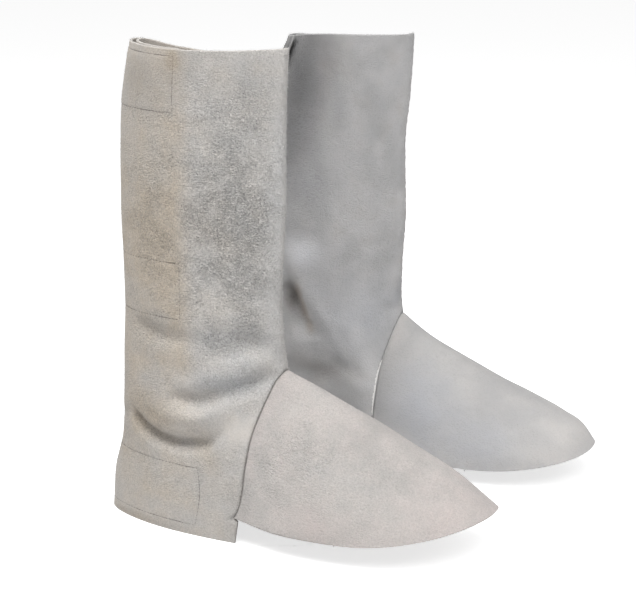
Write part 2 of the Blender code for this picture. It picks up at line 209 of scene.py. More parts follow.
@dataclass(frozen=True)
class Guard:
    """The shape of one leg guard, and the stains, painted shade and painted highlight on its hide."""

    name: str
    side: Side
    heel: tuple[float, float]
    toe_out: float
    hem_height: float
    toe_height: float
    slump: float
    rim_dips: tuple[float, float, float, float]  # on the outer and inner sides, behind and in front
    sections: tuple[Section, ...]
    ridge: tuple[float, ...]  # height of the vamp's top line at RIDGE_STEPS, as shares of the instep's
    folds: tuple[Fold, ...]
    creases: tuple[Crease, ...]
    stains_and_shade: tuple[StainAndShade, ...]
    phase: float  # shifts the broad unevenness of the hide
    warm_back: float  # how much warmer the hide is from the sides backwards

    def section_point(self, turn: Array, height: Array) -> Array:
        """Place of a point on the smooth outer surface of the leg panel, with y positive to the outer side.

        Formula: x = widest + reach cos(turn), y = half_width sin(turn) (1 - fold cos^2(turn)), where the
        pinch by the fold is on the front half alone.

        Args:
            turn, height: of each point.

        Returns:
            The x and y of each point, in mm.
        """
        columns = zip(*self.sections)
        heights = next(columns)
        back, front, half_width, widest, fold = (curve_through(heights, c, height) for c in columns)
        cosine = np.cos(np.radians(turn))
        sine = np.sin(np.radians(turn))
        reach = np.where(cosine > 0, front - widest, widest - back)
        pinch = np.where(cosine > 0, 1.0 - fold * cosine**2, 1.0)
        return np.stack([widest + reach * cosine, half_width * sine * pinch], -1)

    def outward(self, turn: Array, height: Array) -> Array:
        """Level direction out of the leg panel, square to it, with y positive to the outer side.

        Args:
            turn, height: of each point.

        Returns:
            The direction's x and y at each point.
        """
        along = self.section_point(turn + 0.5, height) - self.section_point(turn - 0.5, height)
        return unit(np.stack([along[..., 1], -along[..., 0]], -1))

    def fold_rise(self, turn: Array, height: Array) -> Array:
        """How far the large folds lift the surface.

        Formula: each is a bell across its sagging arc, exp(-(d / half_width)^2), times sin(pi share)^0.8
        along it.

        Args:
            turn, height: of each point.

        Returns:
            The rise of each point, in mm.
        """
        rise = np.zeros(np.broadcast(turn, height).shape)
        for fold in self.folds:
            middle = (fold.from_turn + fold.to_turn) / 2
            near = middle + turn_from(middle, turn)
            share = np.clip((near - fold.from_turn) / (fold.to_turn - fold.from_turn), 0.0, 1.0)
            chord = fold.from_height + (fold.to_height - fold.from_height) * share
            arc = chord - fold.sag * 4 * share * (1 - share)
            across = np.exp(-(((height - arc) / fold.half_width) ** 2))
            rise = rise + fold.rise * across * np.sin(math.pi * share) ** 0.8
        return rise

    def crease_rise(self, turn: Array, height: Array) -> Array:
        """How far the finer creases lift the surface.

        Formula: rise times the share at the nearest point of the crease's line, times
        exp(-(distance / reach)^2), where the reach differs above and below the line.

        Args:
            turn, height: of each point.

        Returns:
            The rise of each point, in mm.
        """
        rise = np.zeros(np.broadcast(turn, height).shape)
        turn, height = np.broadcast_arrays(turn, height)
        for crease in self.creases:
            knots = np.array(crease.path, float)
            place = np.arange(len(knots), dtype=float)
            fine = np.linspace(0.0, place[-1], 40)
            line_turn, line_height, line_share = (curve_through(place, knots[:, i], fine) for i in range(3))
            middle = line_turn.mean()
            near = middle + turn_from(middle, turn)
            reach = 3.0 * max(crease.above, crease.below)
            inside = (near > line_turn.min() - reach / DEGREE) & (near < line_turn.max() + reach / DEGREE)
            inside &= (height > line_height.min() - reach) & (height < line_height.max() + reach)
            over = (near[inside][:, None] - line_turn) * DEGREE
            up = height[inside][:, None] - line_height
            distance = np.hypot(over, up)
            nearest = distance.argmin(1)
            each = np.arange(len(nearest))
            lifted = up[each, nearest] > 0
            width = np.where(lifted, crease.above, crease.below)
            bell = np.exp(-((distance[each, nearest] / width) ** 2))
            rise[inside] += crease.rise * line_share[nearest].clip(0) * bell
        return rise

    def unevenness(self, turn: Array, height: Array) -> Array:
        """The broad unevenness of the hide: waves that close round the leg, and small ones at the front.

        Args:
            turn, height: of each point.

        Returns:
            The rise of each point, in mm.
        """
        angle = np.radians(turn)
        p = self.phase
        waves = 0.34 * np.cos(3 * angle + 0.019 * height + p) * np.sin(0.031 * height + 2 * p)
        waves = waves + 0.22 * np.cos(5 * angle - 0.041 * height + 3 * p) * np.cos(0.023 * height + p)
        waves = waves + 0.13 * np.sin(8 * angle + 0.083 * height + 5 * p) * np.sin(0.057 * height + 3 * p)
        rough = 0.3 * np.sin(0.83 * height + 3 * p + 2 * np.sin(0.13 * height))
        rough = rough * np.sin(0.31 * height + 7 * angle)
        return waves + rough * np.exp(-((turn / 16.0) ** 2))

    def pad_share(self, turn: Array, height: Array) -> Array:
        """1 inside the stitched patches of the lap, 0 outside, with a soft step of about 2 mm.

        Args:
            turn, height: of each point.

        Returns:
            The share at each point.
        """
        share = np.zeros(np.broadcast(turn, height).shape)
        for strip in STRIPS:
            share = np.maximum(share, ease(-self.patch_distance(strip, turn, height), -0.6, 1.4))
        return share

    def patch_distance(self, strip: Strip, turn: Array, height: Array, corner: float = 3.0) -> Array:
        """Distance in mm from the outline of a stitched patch, below 0 inside: a rounded rectangle.

        Args:
            strip: the fastening.
            turn, height: of each point.
            corner: radius of the outline's corners, in mm.

        Returns:
            The distance of each point.
        """
        edge = strip.edge_turn(height)
        middle_turn = (edge + TAPE_TO) / 2
        middle_height = (strip.bottom + strip.top) / 2
        over = (np.abs(turn - middle_turn) - (TAPE_TO - edge) / 2) * strip.degree + corner
        up = np.abs(height - middle_height) - (strip.top - strip.bottom) / 2 + corner
        outside = np.hypot(over.clip(0), up.clip(0))
        return outside + np.minimum(np.maximum(over, up), 0.0) - corner

    def stain_and_shade_share(self, turn: Array, height: Array, kind: str) -> Array:
        """Sum of the stains and painted shade of one kind at each point.

        Formula: each is its value times exp(-(turn distance / over)^2 - (height distance / up)^2).

        Args:
            turn, height: of each point.
            kind: the field of the stains and painted shade that is summed.

        Returns:
            The sums.
        """
        total = np.zeros(np.broadcast(turn, height).shape)
        for spot in self.stains_and_shade:
            over, up = turn_from(spot.turn, turn) / spot.over, (height - spot.height) / spot.up
            total = total + getattr(spot, kind) * np.exp(-(over**2) - up**2)
        return total

    def relief(self, turn: Array, height: Array) -> Array:
        """All that lies on the leg panel's smooth form: folds, creases, unevenness, patches and seam roll.

        Args:
            turn, height: of each point.

        Returns:
            The rise of each point, in mm.
        """
        rise = self.fold_rise(turn, height) + self.crease_rise(turn, height)
        fade = 1.0 - 0.8 * ease(height, HEIGHT - 6, HEIGHT)
        rise = rise + self.unevenness(turn, height) * fade
        for strip in STRIPS:
            distance = self.patch_distance(strip, turn, height)
            step = strip.pad * ease(-distance, -1.0, 2.2)
            groove = GROOVE * np.exp(-((distance / GROOVE_WIDTH) ** 2))
            rise = rise + step - groove
        return rise - SEAM_ROLL * np.exp(-((seam_distance(turn, height) / SEAM_ROLL_WIDTH) ** 2))

    def panel_point(self, turn: Array, height: Array, depth: Array | float = 0.0) -> Array:
        """Point of the leg panel, that far below its outer surface, after the leg's slump and the rim's lean.

        Args:
            turn, height: of each point.
            depth: below the outer surface, in mm.

        Returns:
            The points, in mm.
        """
        turn, height, depth = np.broadcast_arrays(*(np.asarray(v, float) for v in (turn, height, depth)))
        flat = self.section_point(turn, height)
        out = self.outward(turn, height)
        level = flat + out * (self.relief(turn, height) - depth)[..., None]
        sine = np.sin(np.radians(turn))
        cosine = np.cos(np.radians(turn))
        dip_outer, dip_inner, dip_back, dip_front = self.rim_dips
        dip = np.where(sine > 0, dip_outer, dip_inner) * sine**2
        dip = dip + np.where(cosine < 0, dip_back, dip_front) * cosine**2
        sunk = self.slump * ease(height, SLUMP_FROM, SLUMP_TO) + dip * ease(height, LEAN_FROM, HEIGHT)
        return np.stack([level[..., 0], self.side.value * level[..., 1], height - sunk], -1)

    def panel_normal(self, turn: Array, height: Array) -> Array:
        """Direction out of the leg panel's dressed surface.

        Args:
            turn, height: of each point.

        Returns:
            The unit directions.
        """
        depth = lap_depth(turn)
        round_leg = self.panel_point(turn + 0.4, height, depth) - self.panel_point(turn - 0.4, height, depth)
        up_leg = self.panel_point(turn, height + 0.4, depth) - self.panel_point(turn, height - 0.4, depth)
        return unit(np.cross(round_leg, up_leg)) * self.side.value

    def placed(self, points: Array) -> Array:
        """The guard's points, turned and moved to where it stands, about the middle of the pair's footprint.

        Args:
            points: in the guard's own axes, in mm.

        Returns:
            The points in the shared frame, in metres.
        """
        angle = math.radians(self.toe_out * self.side.value)
        turned = np.array([[math.cos(angle), math.sin(angle)], [-math.sin(angle), math.cos(angle)]])
        placed = points.copy()
        placed[..., :2] = points[..., :2] @ turned + np.array(self.heel)
        return (placed - MIDDLE) * MM

    def facing_out(self, faces: Array) -> Array:
        """The faces, reversed on the guard whose outer side faces the other way."""
        return faces if self.side is Side.LEFT else faces[:, ::-1]


FOOT_SECTIONS = rows(
    Section,  # height, back, front, half width, widest, fold
    (0, -11, 175, 40.5, 115, 0),
    (30, -8, 166, 40.5, 112, 0),
    (60, 0, 156, 40.5, 99, 0),
    (90, 2, 147, 39.5, 83, 0.1),
    (124, 3, 137, 37.5, 76, 0.2),
)

RIGHT = Guard(
    name="right",
    side=Side.RIGHT,
    heel=(0.0, 0.0),
    toe_out=5.5,
    hem_height=17.5,
    toe_height=35.5,
    slump=0.0,
    rim_dips=(1.2, 11.5, 0.0, 0.0),
    phase=0.7,
    warm_back=0.85,
    # Painted shade in the ankle troughs, painted highlight on the rolls and front edge; the rest is stain and
    # nap
    stains_and_shade=rows(
        StainAndShade,  # turn, height, over, up, tone, shag, warm
        (50, 235, 44, 110, 0, 0.95),
        (120, 235, 40, 120, 0, 0.5),
        (-90, 220, 80, 120, 0, 0.8),
        (180, 60, 200, 70, 0, 0.35),
        (12, 240, 16, 110, 1.4, -0.1, -0.45),
        (67, 228, 18, 24, -0.5),
        (52, 208, 30, 44, 0.6),
        (76, 252, 10, 16, -0.2),
        (73, 186, 14, 10, 0.3),
        (48, 178, 16, 11, 0.7),
        (56, 284, 28, 24, 0.65),
        (54, 152, 28, 11, -2.1, 0, -0.5),
        (54, 136, 18, 6, 2.5, 0, -0.2),
        (62, 118, 30, 9, -0.15, 0, -0.8),
        (56, 86, 26, 12, 1.4, -0.4, 0.25),
        (120, 90, 24, 16, -0.85, 0, 0.8),
        (152, 76, 26, 56, -0.3, 0, 0.75),
        (130, 30, 34, 30, 0, 0, 0.4),
        (92, 66, 8, 9, -0.6, 0, 0.5),
        (70, 334, 60, 26, -0.7),
        (140, 2, 30, 4, -1.4, 0, 0.5),
        (50, 300, 12, 9, -0.4),
        (100, 104, 12, 14, 0.75),
        (110, 40, 60, 34, 0.3, 0, 0.15),
        (135, 336, 34, 20, -1.45),
        (97, 352, 7, 7, -0.8, 0, 0.6),
        (128, 240, 36, 80, -0.3, 0, 0.2),
        (118, 150, 26, 14, -0.5),
        (-70, 250, 30, 40, -0.5),
        (-60, 170, 30, 20, 0.4),
        (-100, 330, 40, 30, 0.3),
        (-110, 40, 60, 34, 0.3),
    ),
    sections=FOOT_SECTIONS
    + rows(
        Section,  # height, back, front, half width, widest, fold
        (160, 5, 134, 36, 72, 0.35),
        (250, 4, 137, 35.5, 70, 0.4),
        (310, 6, 138, 34.5, 71, 0.4),
        (360, 14, 140, 33, 73, 0.4),
    ),
    ridge=(1, 0.926, 0.817, 0.668, 0.47, 0.273, 0.1, 0),
    folds=rows(
        Fold,  # from turn, from height, to turn, to height, sag, half width, rise
        (146, 88, 64, 92, 20, 6, -5),
        (122, 93, 64, 106, 9, 6, 2.6),
        (110, 100, 14, 122, -2, 6, -2.6),
        (138, 156, 80, 148, 4, 8, -1.6),
        (52, 152, 20, 146, 3, 9, -1.4),
        (-132, 90, -66, 97, 15, 7, -3.6),
        (-98, 112, -20, 124, 2, 7, -2.2),
        (-120, 206, -74, 196, 5, 10, -1.4),
    ),
    creases=rows(
        Crease,  # rise, above, below, path of turn, height and share
        # Outer side: the core of the deep crease, the roll above it, the trough and bright roll beside it
        (-4.8, 6, 3.4, ((141, 82, 0.1), (138, 80, 0.8), (131, 73.5, 1), (121, 68.5, 1), (111, 66.5, 0.9),
            (99, 69, 0.6), (86, 75, 0.3), (74, 84, 0))),
        (1, 5, 4, ((130, 84, 0), (120, 80, 0.8), (108, 79, 1), (96, 82, 0.7), (84, 90, 0))),
        (-5.2, 7.5, 4.2, ((106, 104, 0), (100, 103, 0.7), (90, 101.5, 1), (76, 104, 0.9), (60, 110, 0.7),
            (43, 116, 0.8), (24, 121, 0.4), (14, 123, 0))),
        (1.5, 4, 7.5, ((103, 99, 0), (98, 95, 0.9), (91, 92.5, 1), (82, 93, 0.8), (63, 102, 0.7),
            (40, 111, 0.4), (28, 114, 0))),
        (-2.4, 7, 5, ((137, 153, 0), (124, 151, 1), (101, 148, 1), (84, 150, 0.3), (78, 151, 0))),
        (0.6, 5, 7, ((130, 140, 0), (108, 138, 1), (86, 141, 0))),
        (-1.8, 6, 4.5, ((62, 152, 0), (42, 147, 1), (28, 144, 1), (13, 143, 0))),
        (0.8, 5, 5, ((60, 143, 0), (46, 137, 1), (32, 133, 0.8), (20, 132, 0))),
        (-0.8, 4, 4, ((136, 131, 0), (127, 129, 1), (118, 128, 0))),
        (-1.2, 4, 3, ((170, 76, 0), (158, 78, 1), (147, 80, 0.8), (138, 82, 0.2))),
        (0.8, 5, 5, ((90, 117, 0), (74, 122, 1), (56, 129, 0))),
        (-0.6, 5, 5, ((66, 30, 0), (84, 33, 1), (94, 30, 0.6), (104, 27, 0))),
        (-0.5, 9, 9, ((70, 232, 0), (84, 246, 1), (90, 268, 0))),
        (0.6, 10, 10, ((48, 196, 0), (52, 230, 1), (58, 262, 0))),
        # Behind and on the inner side
        (-1.3, 4, 3, ((-172, 84, 0), (-160, 80, 0.9), (-148, 79, 0.6), (-138, 82, 0))),
        (-1.5, 5, 3, ((-126, 86, 0), (-112, 80, 1), (-98, 79, 0.9), (-76, 90, 0))),
        (1.3, 4, 6, ((-120, 97, 0), (-104, 92, 1), (-86, 94, 0.9), (-66, 104, 0))),
        (-1.4, 6, 4, ((-96, 112, 0), (-78, 111, 1), (-54, 117, 0.8), (-26, 124, 0))),
        (-0.9, 6, 5, ((-128, 146, 0), (-110, 141, 1), (-92, 144, 0.6), (-80, 150, 0))),
        (0.7, 6, 7, ((-114, 130, 0), (-92, 128, 1), (-70, 134, 0))),
        (-0.8, 5, 5, ((-50, 150, 0), (-36, 146, 1), (-16, 145, 0))),
        (-0.6, 7, 7, ((-118, 262, 0), (-100, 256, 1), (-84, 262, 0))),
    ),
)

LEFT = Guard(
    name="left",
    side=Side.LEFT,
    heel=(27.0, 166.0),
    toe_out=5.5,
    hem_height=13.5,
    toe_height=28.0,
    slump=9.0,
    rim_dips=(13.0, 0.0, 6.5, 2.5),
    phase=2.9,
    warm_back=0.1,
    # Painted shadow up the inner back and in the pocket, painted highlight on its roll and the front edge
    stains_and_shade=rows(
        StainAndShade,  # turn, height, over, up, tone, shag, warm
        (0, 180, 300, 200, 0, 0.35),
        (-120, 315, 31, 88, -4.3, 0, -0.4),
        (-105, 190, 24, 90, 0, 0, -0.25),
        (-150, 348, 24, 26, -2.2, 0.5),
        (-109, 140, 6, 13, -3.3, 0, 0.7),
        (-104, 146, 4, 8, -1.2, 0, 1.3),
        (-100.5, 131, 4, 9, -0.9, 0, 1.5),
        (-97, 116, 3.5, 8, -0.5, 0, 1.2),
        (2, 235, 4, 60, 0.8, 0, 0.5),
        (-95, 78, 17, 13, -1.1, 0, 0.3),
        (-96, 340, 16, 24, -0.3, 0, 0.3),
        (-48, 310, 26, 40, -0.25),
        (-62, 78, 13, 32, 2),
        (-12, 142, 12, 9, -0.7, 0, -0.6),
        (-60, 130, 40, 30, 0.6, 0, -0.7),
        (-60, 238, 20, 30, -0.25),
        (-102, 181, 18, 15, 3.6, 0, -0.4),
        (-60, 190, 30, 22, 0.25),
        (-18, 235, 12, 100, 0.35),
        (70, 250, 40, 60, -0.4),
        (90, 40, 60, 34, 0.3),
        (120, 330, 40, 30, 0.3),
    ),
    sections=FOOT_SECTIONS
    + rows(
        Section,  # height, back, front, half width, widest, fold
        (160, 6, 136, 36.5, 72, 0.35),
        (212, 9, 138, 37, 75, 0.35),
        (280, 16, 137.5, 38, 80, 0.3),
        (310, 23, 140.5, 38.5, 84, 0.3),
        (360, 42, 143, 39, 92, 0.25),
    ),
    ridge=(1, 0.875, 0.734, 0.597, 0.437, 0.287, 0.141, 0),
    folds=rows(
        Fold,  # from turn, from height, to turn, to height, sag, half width, rise
        (-122, 199, -84, 196, 2, 8, -1.8),
        (-120, 172, -96, 118, 0, 18, -4.6),
        (-104, 158, -74, 96, -4, 15, 1.7),
        (-128, 82, -66, 86, 8, 11, -3),
        (140, 92, 70, 97, 15, 7, -4.4),
        (104, 108, 24, 124, 1, 7, -2.4),
        (132, 158, 86, 150, 4, 9, -1.8),
    ),
    creases=rows(
        Crease,  # rise, above, below, path of turn, height and share
        # Inner side: the steep pocket, the light roll beside it, the trough that runs down to the seam
        (-3.6, 7, 10, ((-117, 153, 0), (-113, 146, 0.9), (-108, 134, 1), (-103, 121, 1), (-99, 110, 0.5),
            (-97, 104, 0))),
        (1, 7, 7, ((-98, 162, 0), (-94, 150, 0.9), (-89, 130, 1), (-84, 108, 0))),
        (-1.2, 6, 6, ((-96, 98, 0), (-90, 92, 0.8), (-82, 85, 1), (-75, 79, 1), (-68, 74, 0.5),
            (-60, 71, 0))),
        (0.8, 6, 6, ((-122, 200, 0), (-108, 196, 1), (-94, 196, 0.6), (-84, 198, 0))),
        (-1, 4, 4, ((-40, 134, 0), (-32, 132, 0.9), (-20, 130, 1), (-8, 130, 0))),
        (-0.5, 3, 3, ((-30, 178, 0), (-22, 174, 1), (-14, 172, 0))),
        (-0.6, 6, 5, ((-124, 74, 0), (-108, 77, 1), (-92, 81, 1), (-78, 86, 0))),
        (1, 7, 7, ((-78, 128, 0), (-66, 112, 1), (-56, 92, 0))),
        (-0.6, 9, 9, ((-70, 168, 0), (-52, 150, 1), (-40, 142, 0))),
        (-0.5, 12, 12, ((-96, 226, 0), (-80, 250, 1), (-72, 282, 0))),
        (0.5, 12, 12, ((-58, 214, 0), (-52, 246, 1), (-48, 284, 0))),
        (-0.6, 6, 6, ((-30, 226, 0), (-16, 232, 1), (-4, 230, 0))),
        (-0.5, 5, 5, ((-26, 268, 0), (-14, 275, 1), (-4, 274, 0))),
        # Behind and on the outer side
        (-1.8, 5, 3, ((140, 84, 0), (126, 77, 1), (108, 74, 1), (90, 80, 0.6), (74, 90, 0))),
        (1.4, 5, 6, ((124, 94, 0), (106, 90, 1), (88, 95, 0.9), (68, 104, 0))),
        (-1.5, 6, 4, ((108, 110, 0), (92, 105, 1), (70, 110, 0.9), (40, 119, 0.4), (24, 122, 0))),
        (-1, 6, 6, ((136, 158, 0), (120, 152, 1), (98, 150, 0.8), (84, 153, 0))),
        (-1.1, 4, 4, ((176, 88, 0), (164, 83, 1), (150, 81, 0.6), (140, 84, 0))),
        (-0.8, 5, 5, ((52, 150, 0), (36, 145, 1), (16, 144, 0))),
        (0.7, 6, 6, ((84, 132, 0), (66, 136, 1), (48, 134, 0))),
    ),
)

# Curves


def curve_through(knots: Iterable[float], values: Iterable[float], at: Array) -> Array:
    """Values on a smooth curve through the knots: a cubic between each two, with slopes from both sides.

    Args:
        knots: where the values are known, rising.
        values: the known values.
        at: where the curve is read.

    Returns:
        The curve's values.
    """
    knots = np.asarray(knots, float)
    values = np.asarray(values, float)
    at = np.clip(np.asarray(at, float), knots[0], knots[-1])
    slopes = np.gradient(values, knots)
    i = np.clip(np.searchsorted(knots, at, side="right") - 1, 0, len(knots) - 2)
    step = knots[i + 1] - knots[i]
    t = (at - knots[i]) / step
    start = values[i] * (2 * t**3 - 3 * t**2 + 1) + step * slopes[i] * (t**3 - 2 * t**2 + t)
    end = values[i + 1] * (3 * t**2 - 2 * t**3) + step * slopes[i + 1] * (t**3 - t**2)
    return start + end


def ease(at: Array, start: float, end: float) -> Array:
    """0 before start, 1 after end, and the smooth step t^2 (3 - 2t) between them."""
    t = np.clip((np.asarray(at, float) - start) / (end - start), 0.0, 1.0)
    return t * t * (3.0 - 2.0 * t)


def turn_from(middle: float, turn: Array) -> Array:
    """How far the turns are from the middle one, the short way round the leg."""
    return (turn - middle + 180.0) % 360.0 - 180.0


def unit(vectors: Array) -> Array:
    """The vectors, each made one long."""
    return vectors / np.linalg.norm(vectors, axis=-1, keepdims=True).clip(1e-12)


def lap_depth(turn: Array) -> Array:
    """How deep the panel lies at that turn, in mm: the lower flap tucks in under tapes and upper flap."""
    full = WALL + 2 * TAPE + 3 * SEAM_GAP
    return full * ease(-np.asarray(turn, float), -UNDER_FROM, -UNDER_TO)


def notch_turn(height: Array) -> Array:
    """How far round from the front the notch reaches: 90 sqrt(1 - share^power) degrees."""
    share = np.clip((height - NOTCH_FOOT) / (NOTCH_TOP - NOTCH_FOOT), 0.0, 1.0)
    return 90.0 * np.sqrt(1.0 - share**NOTCH_POWER)


def notch_height(turn: Array) -> Array:
    """The height at which the notch reaches that far round: the reverse of notch_turn."""
    share = (1.0 - (turn / 90.0) ** 2).clip(0) ** (1.0 / NOTCH_POWER)
    return NOTCH_FOOT + share * (NOTCH_TOP - NOTCH_FOOT)


def line_place(points: Array) -> Array:
    """How far along its line each point lies."""
    return np.concatenate([[0.0], np.cumsum(np.linalg.norm(np.diff(points, axis=0), axis=1))])


def seam_rows(count: int) -> tuple[Array, Array]:
    """Turns and heights of points spaced evenly along one side of the notch, from its foot to the instep.

    Args:
        count: how many points.

    Returns:
        The turns, in degrees, and the heights, in mm.
    """
    fine_turns = np.linspace(90.0, 0.0, 900)
    fine_heights = notch_height(fine_turns)
    steps = np.hypot(np.diff(fine_turns) * SEAM_DEGREE, np.diff(fine_heights))
    length = np.concatenate([[0.0], np.cumsum(steps)])
    turns = np.interp(np.linspace(0.0, length[-1], count), length, fine_turns)
    return turns, notch_height(turns)


def seam_distance(turn: Array, height: Array) -> Array:
    """Distance in mm, along the leather, of points of the leg panel from its seam with the vamp.

    Args:
        turn: angle round the leg, in degrees.
        height: along the leather, in mm.

    Returns:
        The distances, which stay at 20 mm further away.
    """
    turn, height = np.broadcast_arrays(turn, height)
    distance = np.full(turn.shape, 20.0)
    near = (np.abs(turn) < notch_turn(height) + 20) & (height < NOTCH_TOP + 20)
    line_turn, line_height = seam_rows(140)
    over = (np.abs(turn[near])[:, None] - line_turn) * DEGREE
    up = height[near][:, None] - line_height
    distance[near] = np.minimum(np.hypot(over, up).min(1), 20.0)
    return distance


# Meshes


def linked(name: str, data: bpy.types.ID) -> bpy.types.Object:
    """A new object with that data, linked to the scene."""
    made = bpy.data.objects.new(name, data)
    bpy.context.scene.collection.objects.link(made)
    return made


@dataclass
class Shape:
    """A mesh as arrays: points in metres, faces, and named values at its points."""

    points: Array
    faces: list[Array]
    values: dict[str, Array]
    flat: Array | None = None  # place of each point on the flat leather, in metres

    def stood(self, guard: Guard) -> "Shape":
        """The wall where its guard stands, in metres and with its faces out."""
        faces = [guard.facing_out(faces) for faces in self.faces]
        return replace(self, points=guard.placed(self.points), faces=faces)

    def made(self, name: str, material: Material) -> bpy.types.Object:
        """The shape as a smooth shaded object.

        Args:
            name: of the object and its mesh.
            material: its only material.

        Returns:
            The object, linked to the scene.
        """
        mesh = bpy.data.meshes.new(name)
        mesh.from_pydata(self.points.tolist(), [], [face for faces in self.faces for face in faces.tolist()])
        mesh.shade_smooth()
        for value_name, value in self.values.items():
            layer = mesh.attributes.new(value_name, "FLOAT", "POINT")
            layer.data.foreach_set("value", np.asarray(value, np.float32))
        if self.flat is not None:
            corners = np.zeros(len(mesh.loops), np.int32)
            mesh.loops.foreach_get("vertex_index", corners)
            uv = mesh.uv_layers.new(name="cloth")
            uv.data.foreach_set("uv", self.flat[corners].astype(np.float32).ravel())
        mesh.materials.append(material)
        log.info("%s: %d points, %d faces", name, len(mesh.vertices), len(mesh.polygons))
        return linked(name, mesh)


def grid_quads(numbers: Array) -> Array:
    """The face between each four neighbours of a grid of point numbers."""
    near, far = numbers[:-1], numbers[1:]
    return np.stack([near[:, :-1], near[:, 1:], far[:, 1:], far[:, :-1]], -1).reshape(-1, 4)


def closed_wall(outer: Array, inner: Array, quads: Array, values: dict[str, Array], flat: Array) -> Shape:
    """A closed wall of leather with rounded cut edges.

    Formula: the outer faces, their reverse inside, and two strips at each free edge that meet at a middle
    line, which stands EDGE_ROUND out of the wall: edge direction x wall direction.

    Args:
        outer: points of the outer surface, in mm.
        inner: the point below each one.
        quads: outer faces.
        values: named values at the outer points.
        flat: place of the outer points on the flat leather, in mm.

    Returns:
        The shape, in mm, with its edges marked 1 in the value "edge".
    """
    count = len(outer)
    edges = np.concatenate([quads[:, [i, (i + 1) % 4]] for i in range(4)]).astype(np.int64)
    free = edges[~np.isin(edges[:, 0] * count + edges[:, 1], edges[:, 1] * count + edges[:, 0])]
    rim = np.unique(free)
    direction = np.cross(outer[free[:, 1]] - outer[free[:, 0]], outer[free[:, 0]] - inner[free[:, 0]])
    out = np.zeros_like(outer)
    np.add.at(out, free[:, 0], unit(direction))
    np.add.at(out, free[:, 1], unit(direction))
    middle = (outer[rim] + inner[rim]) / 2 + unit(out[rim]) * EDGE_ROUND
    lower = quads[:, ::-1] + count
    start, end = free.T
    ring = 2 * count + np.searchsorted(rim, free)
    upper_strip = np.stack([end, start, ring[:, 0], ring[:, 1]], 1)
    lower_strip = np.stack([ring[:, 1], ring[:, 0], start + count, end + count], 1)
    all_values = {name: np.concatenate([value, value, value[rim]]) for name, value in values.items()}
    edge = np.zeros(2 * count + len(rim))
    edge[rim] = edge[rim + count] = EDGE_SHARE
    edge[2 * count :] = 1.0
    all_values["edge"] = edge
    return Shape(
        points=np.concatenate([outer, inner, middle]),
        faces=[np.concatenate([quads, lower, upper_strip, lower_strip])],
        values=all_values,
        flat=np.concatenate([flat, flat, flat[rim]]) * MM,
    )


def tubes(guard: Guard, centres: Array, radius: Array, sides: int, aside: Array) -> Shape:
    """Many small tubes at once, with open ends.

    Formula: centre + radius (cos a * aside + sin a * (aside x along)), a going once round.

    Args:
        guard: whose leather they are on.
        centres: centre lines, tubes x points x 3, in mm.
        radius: at each of those points.
        sides: round each tube.
        aside: a direction off each tube's line, tubes x 3.

    Returns:
        The shape, in metres.
    """
    tubes_count, steps = centres.shape[:2]
    along = unit(np.gradient(centres, axis=1))
    first = unit(aside[:, None] - (aside[:, None] * along).sum(-1, keepdims=True) * along)
    second = np.cross(along, first)
    angle = np.linspace(0, 2 * math.pi, sides, endpoint=False)[:, None]
    ring = np.cos(angle) * first[:, :, None] + np.sin(angle) * second[:, :, None]
    points = centres[:, :, None] + radius[..., None, None] * ring
    numbers = np.arange(tubes_count * steps * sides).reshape(tubes_count, steps, sides)
    after = np.roll(numbers, -1, axis=2)
    faces = np.stack([numbers[:, :-1], after[:, :-1], after[:, 1:], numbers[:, 1:]], -1)
    return Shape(points=guard.placed(points.reshape(-1, 3)), faces=[faces.reshape(-1, 4)], values={})


class HairForm(NamedTuple):
    """How fine hairs are made: points along each, how far its tip bends aside, and how thick they are."""

    steps: int
    bend: float
    radius: float  # at the root
    taper: float  # how much of it is lost at the tip


def hairs(guard: Guard, roots: Array, along: Array, curl: Array, length: Array, form: HairForm) -> Shape:
    """Fine tapered hairs with three sides.

    Formula: root + length (share along + bend share^2 curl), with the radius shrinking with the share.

    Args:
        guard: whose leather they stand on.
        roots: where they start, in mm.
        along: unit direction of each one.
        curl: unit direction in which each one bends.
        length: of each one, in mm.
        form: their steps, bend, radius and taper.

    Returns:
        The shape, in metres.
    """
    share = np.linspace(0, 1, form.steps)[None, :, None]
    line = share * along[:, None] + form.bend * share**2 * curl[:, None]
    centres = roots[:, None] + length[:, None, None] * line
    centres[..., 2] = centres[..., 2].clip(0.1)
    radius = form.radius * (1.0 - form.taper * share[..., 0]) * np.ones((len(roots), 1))
    return tubes(guard, centres, radius, 3, curl)


# Node trees


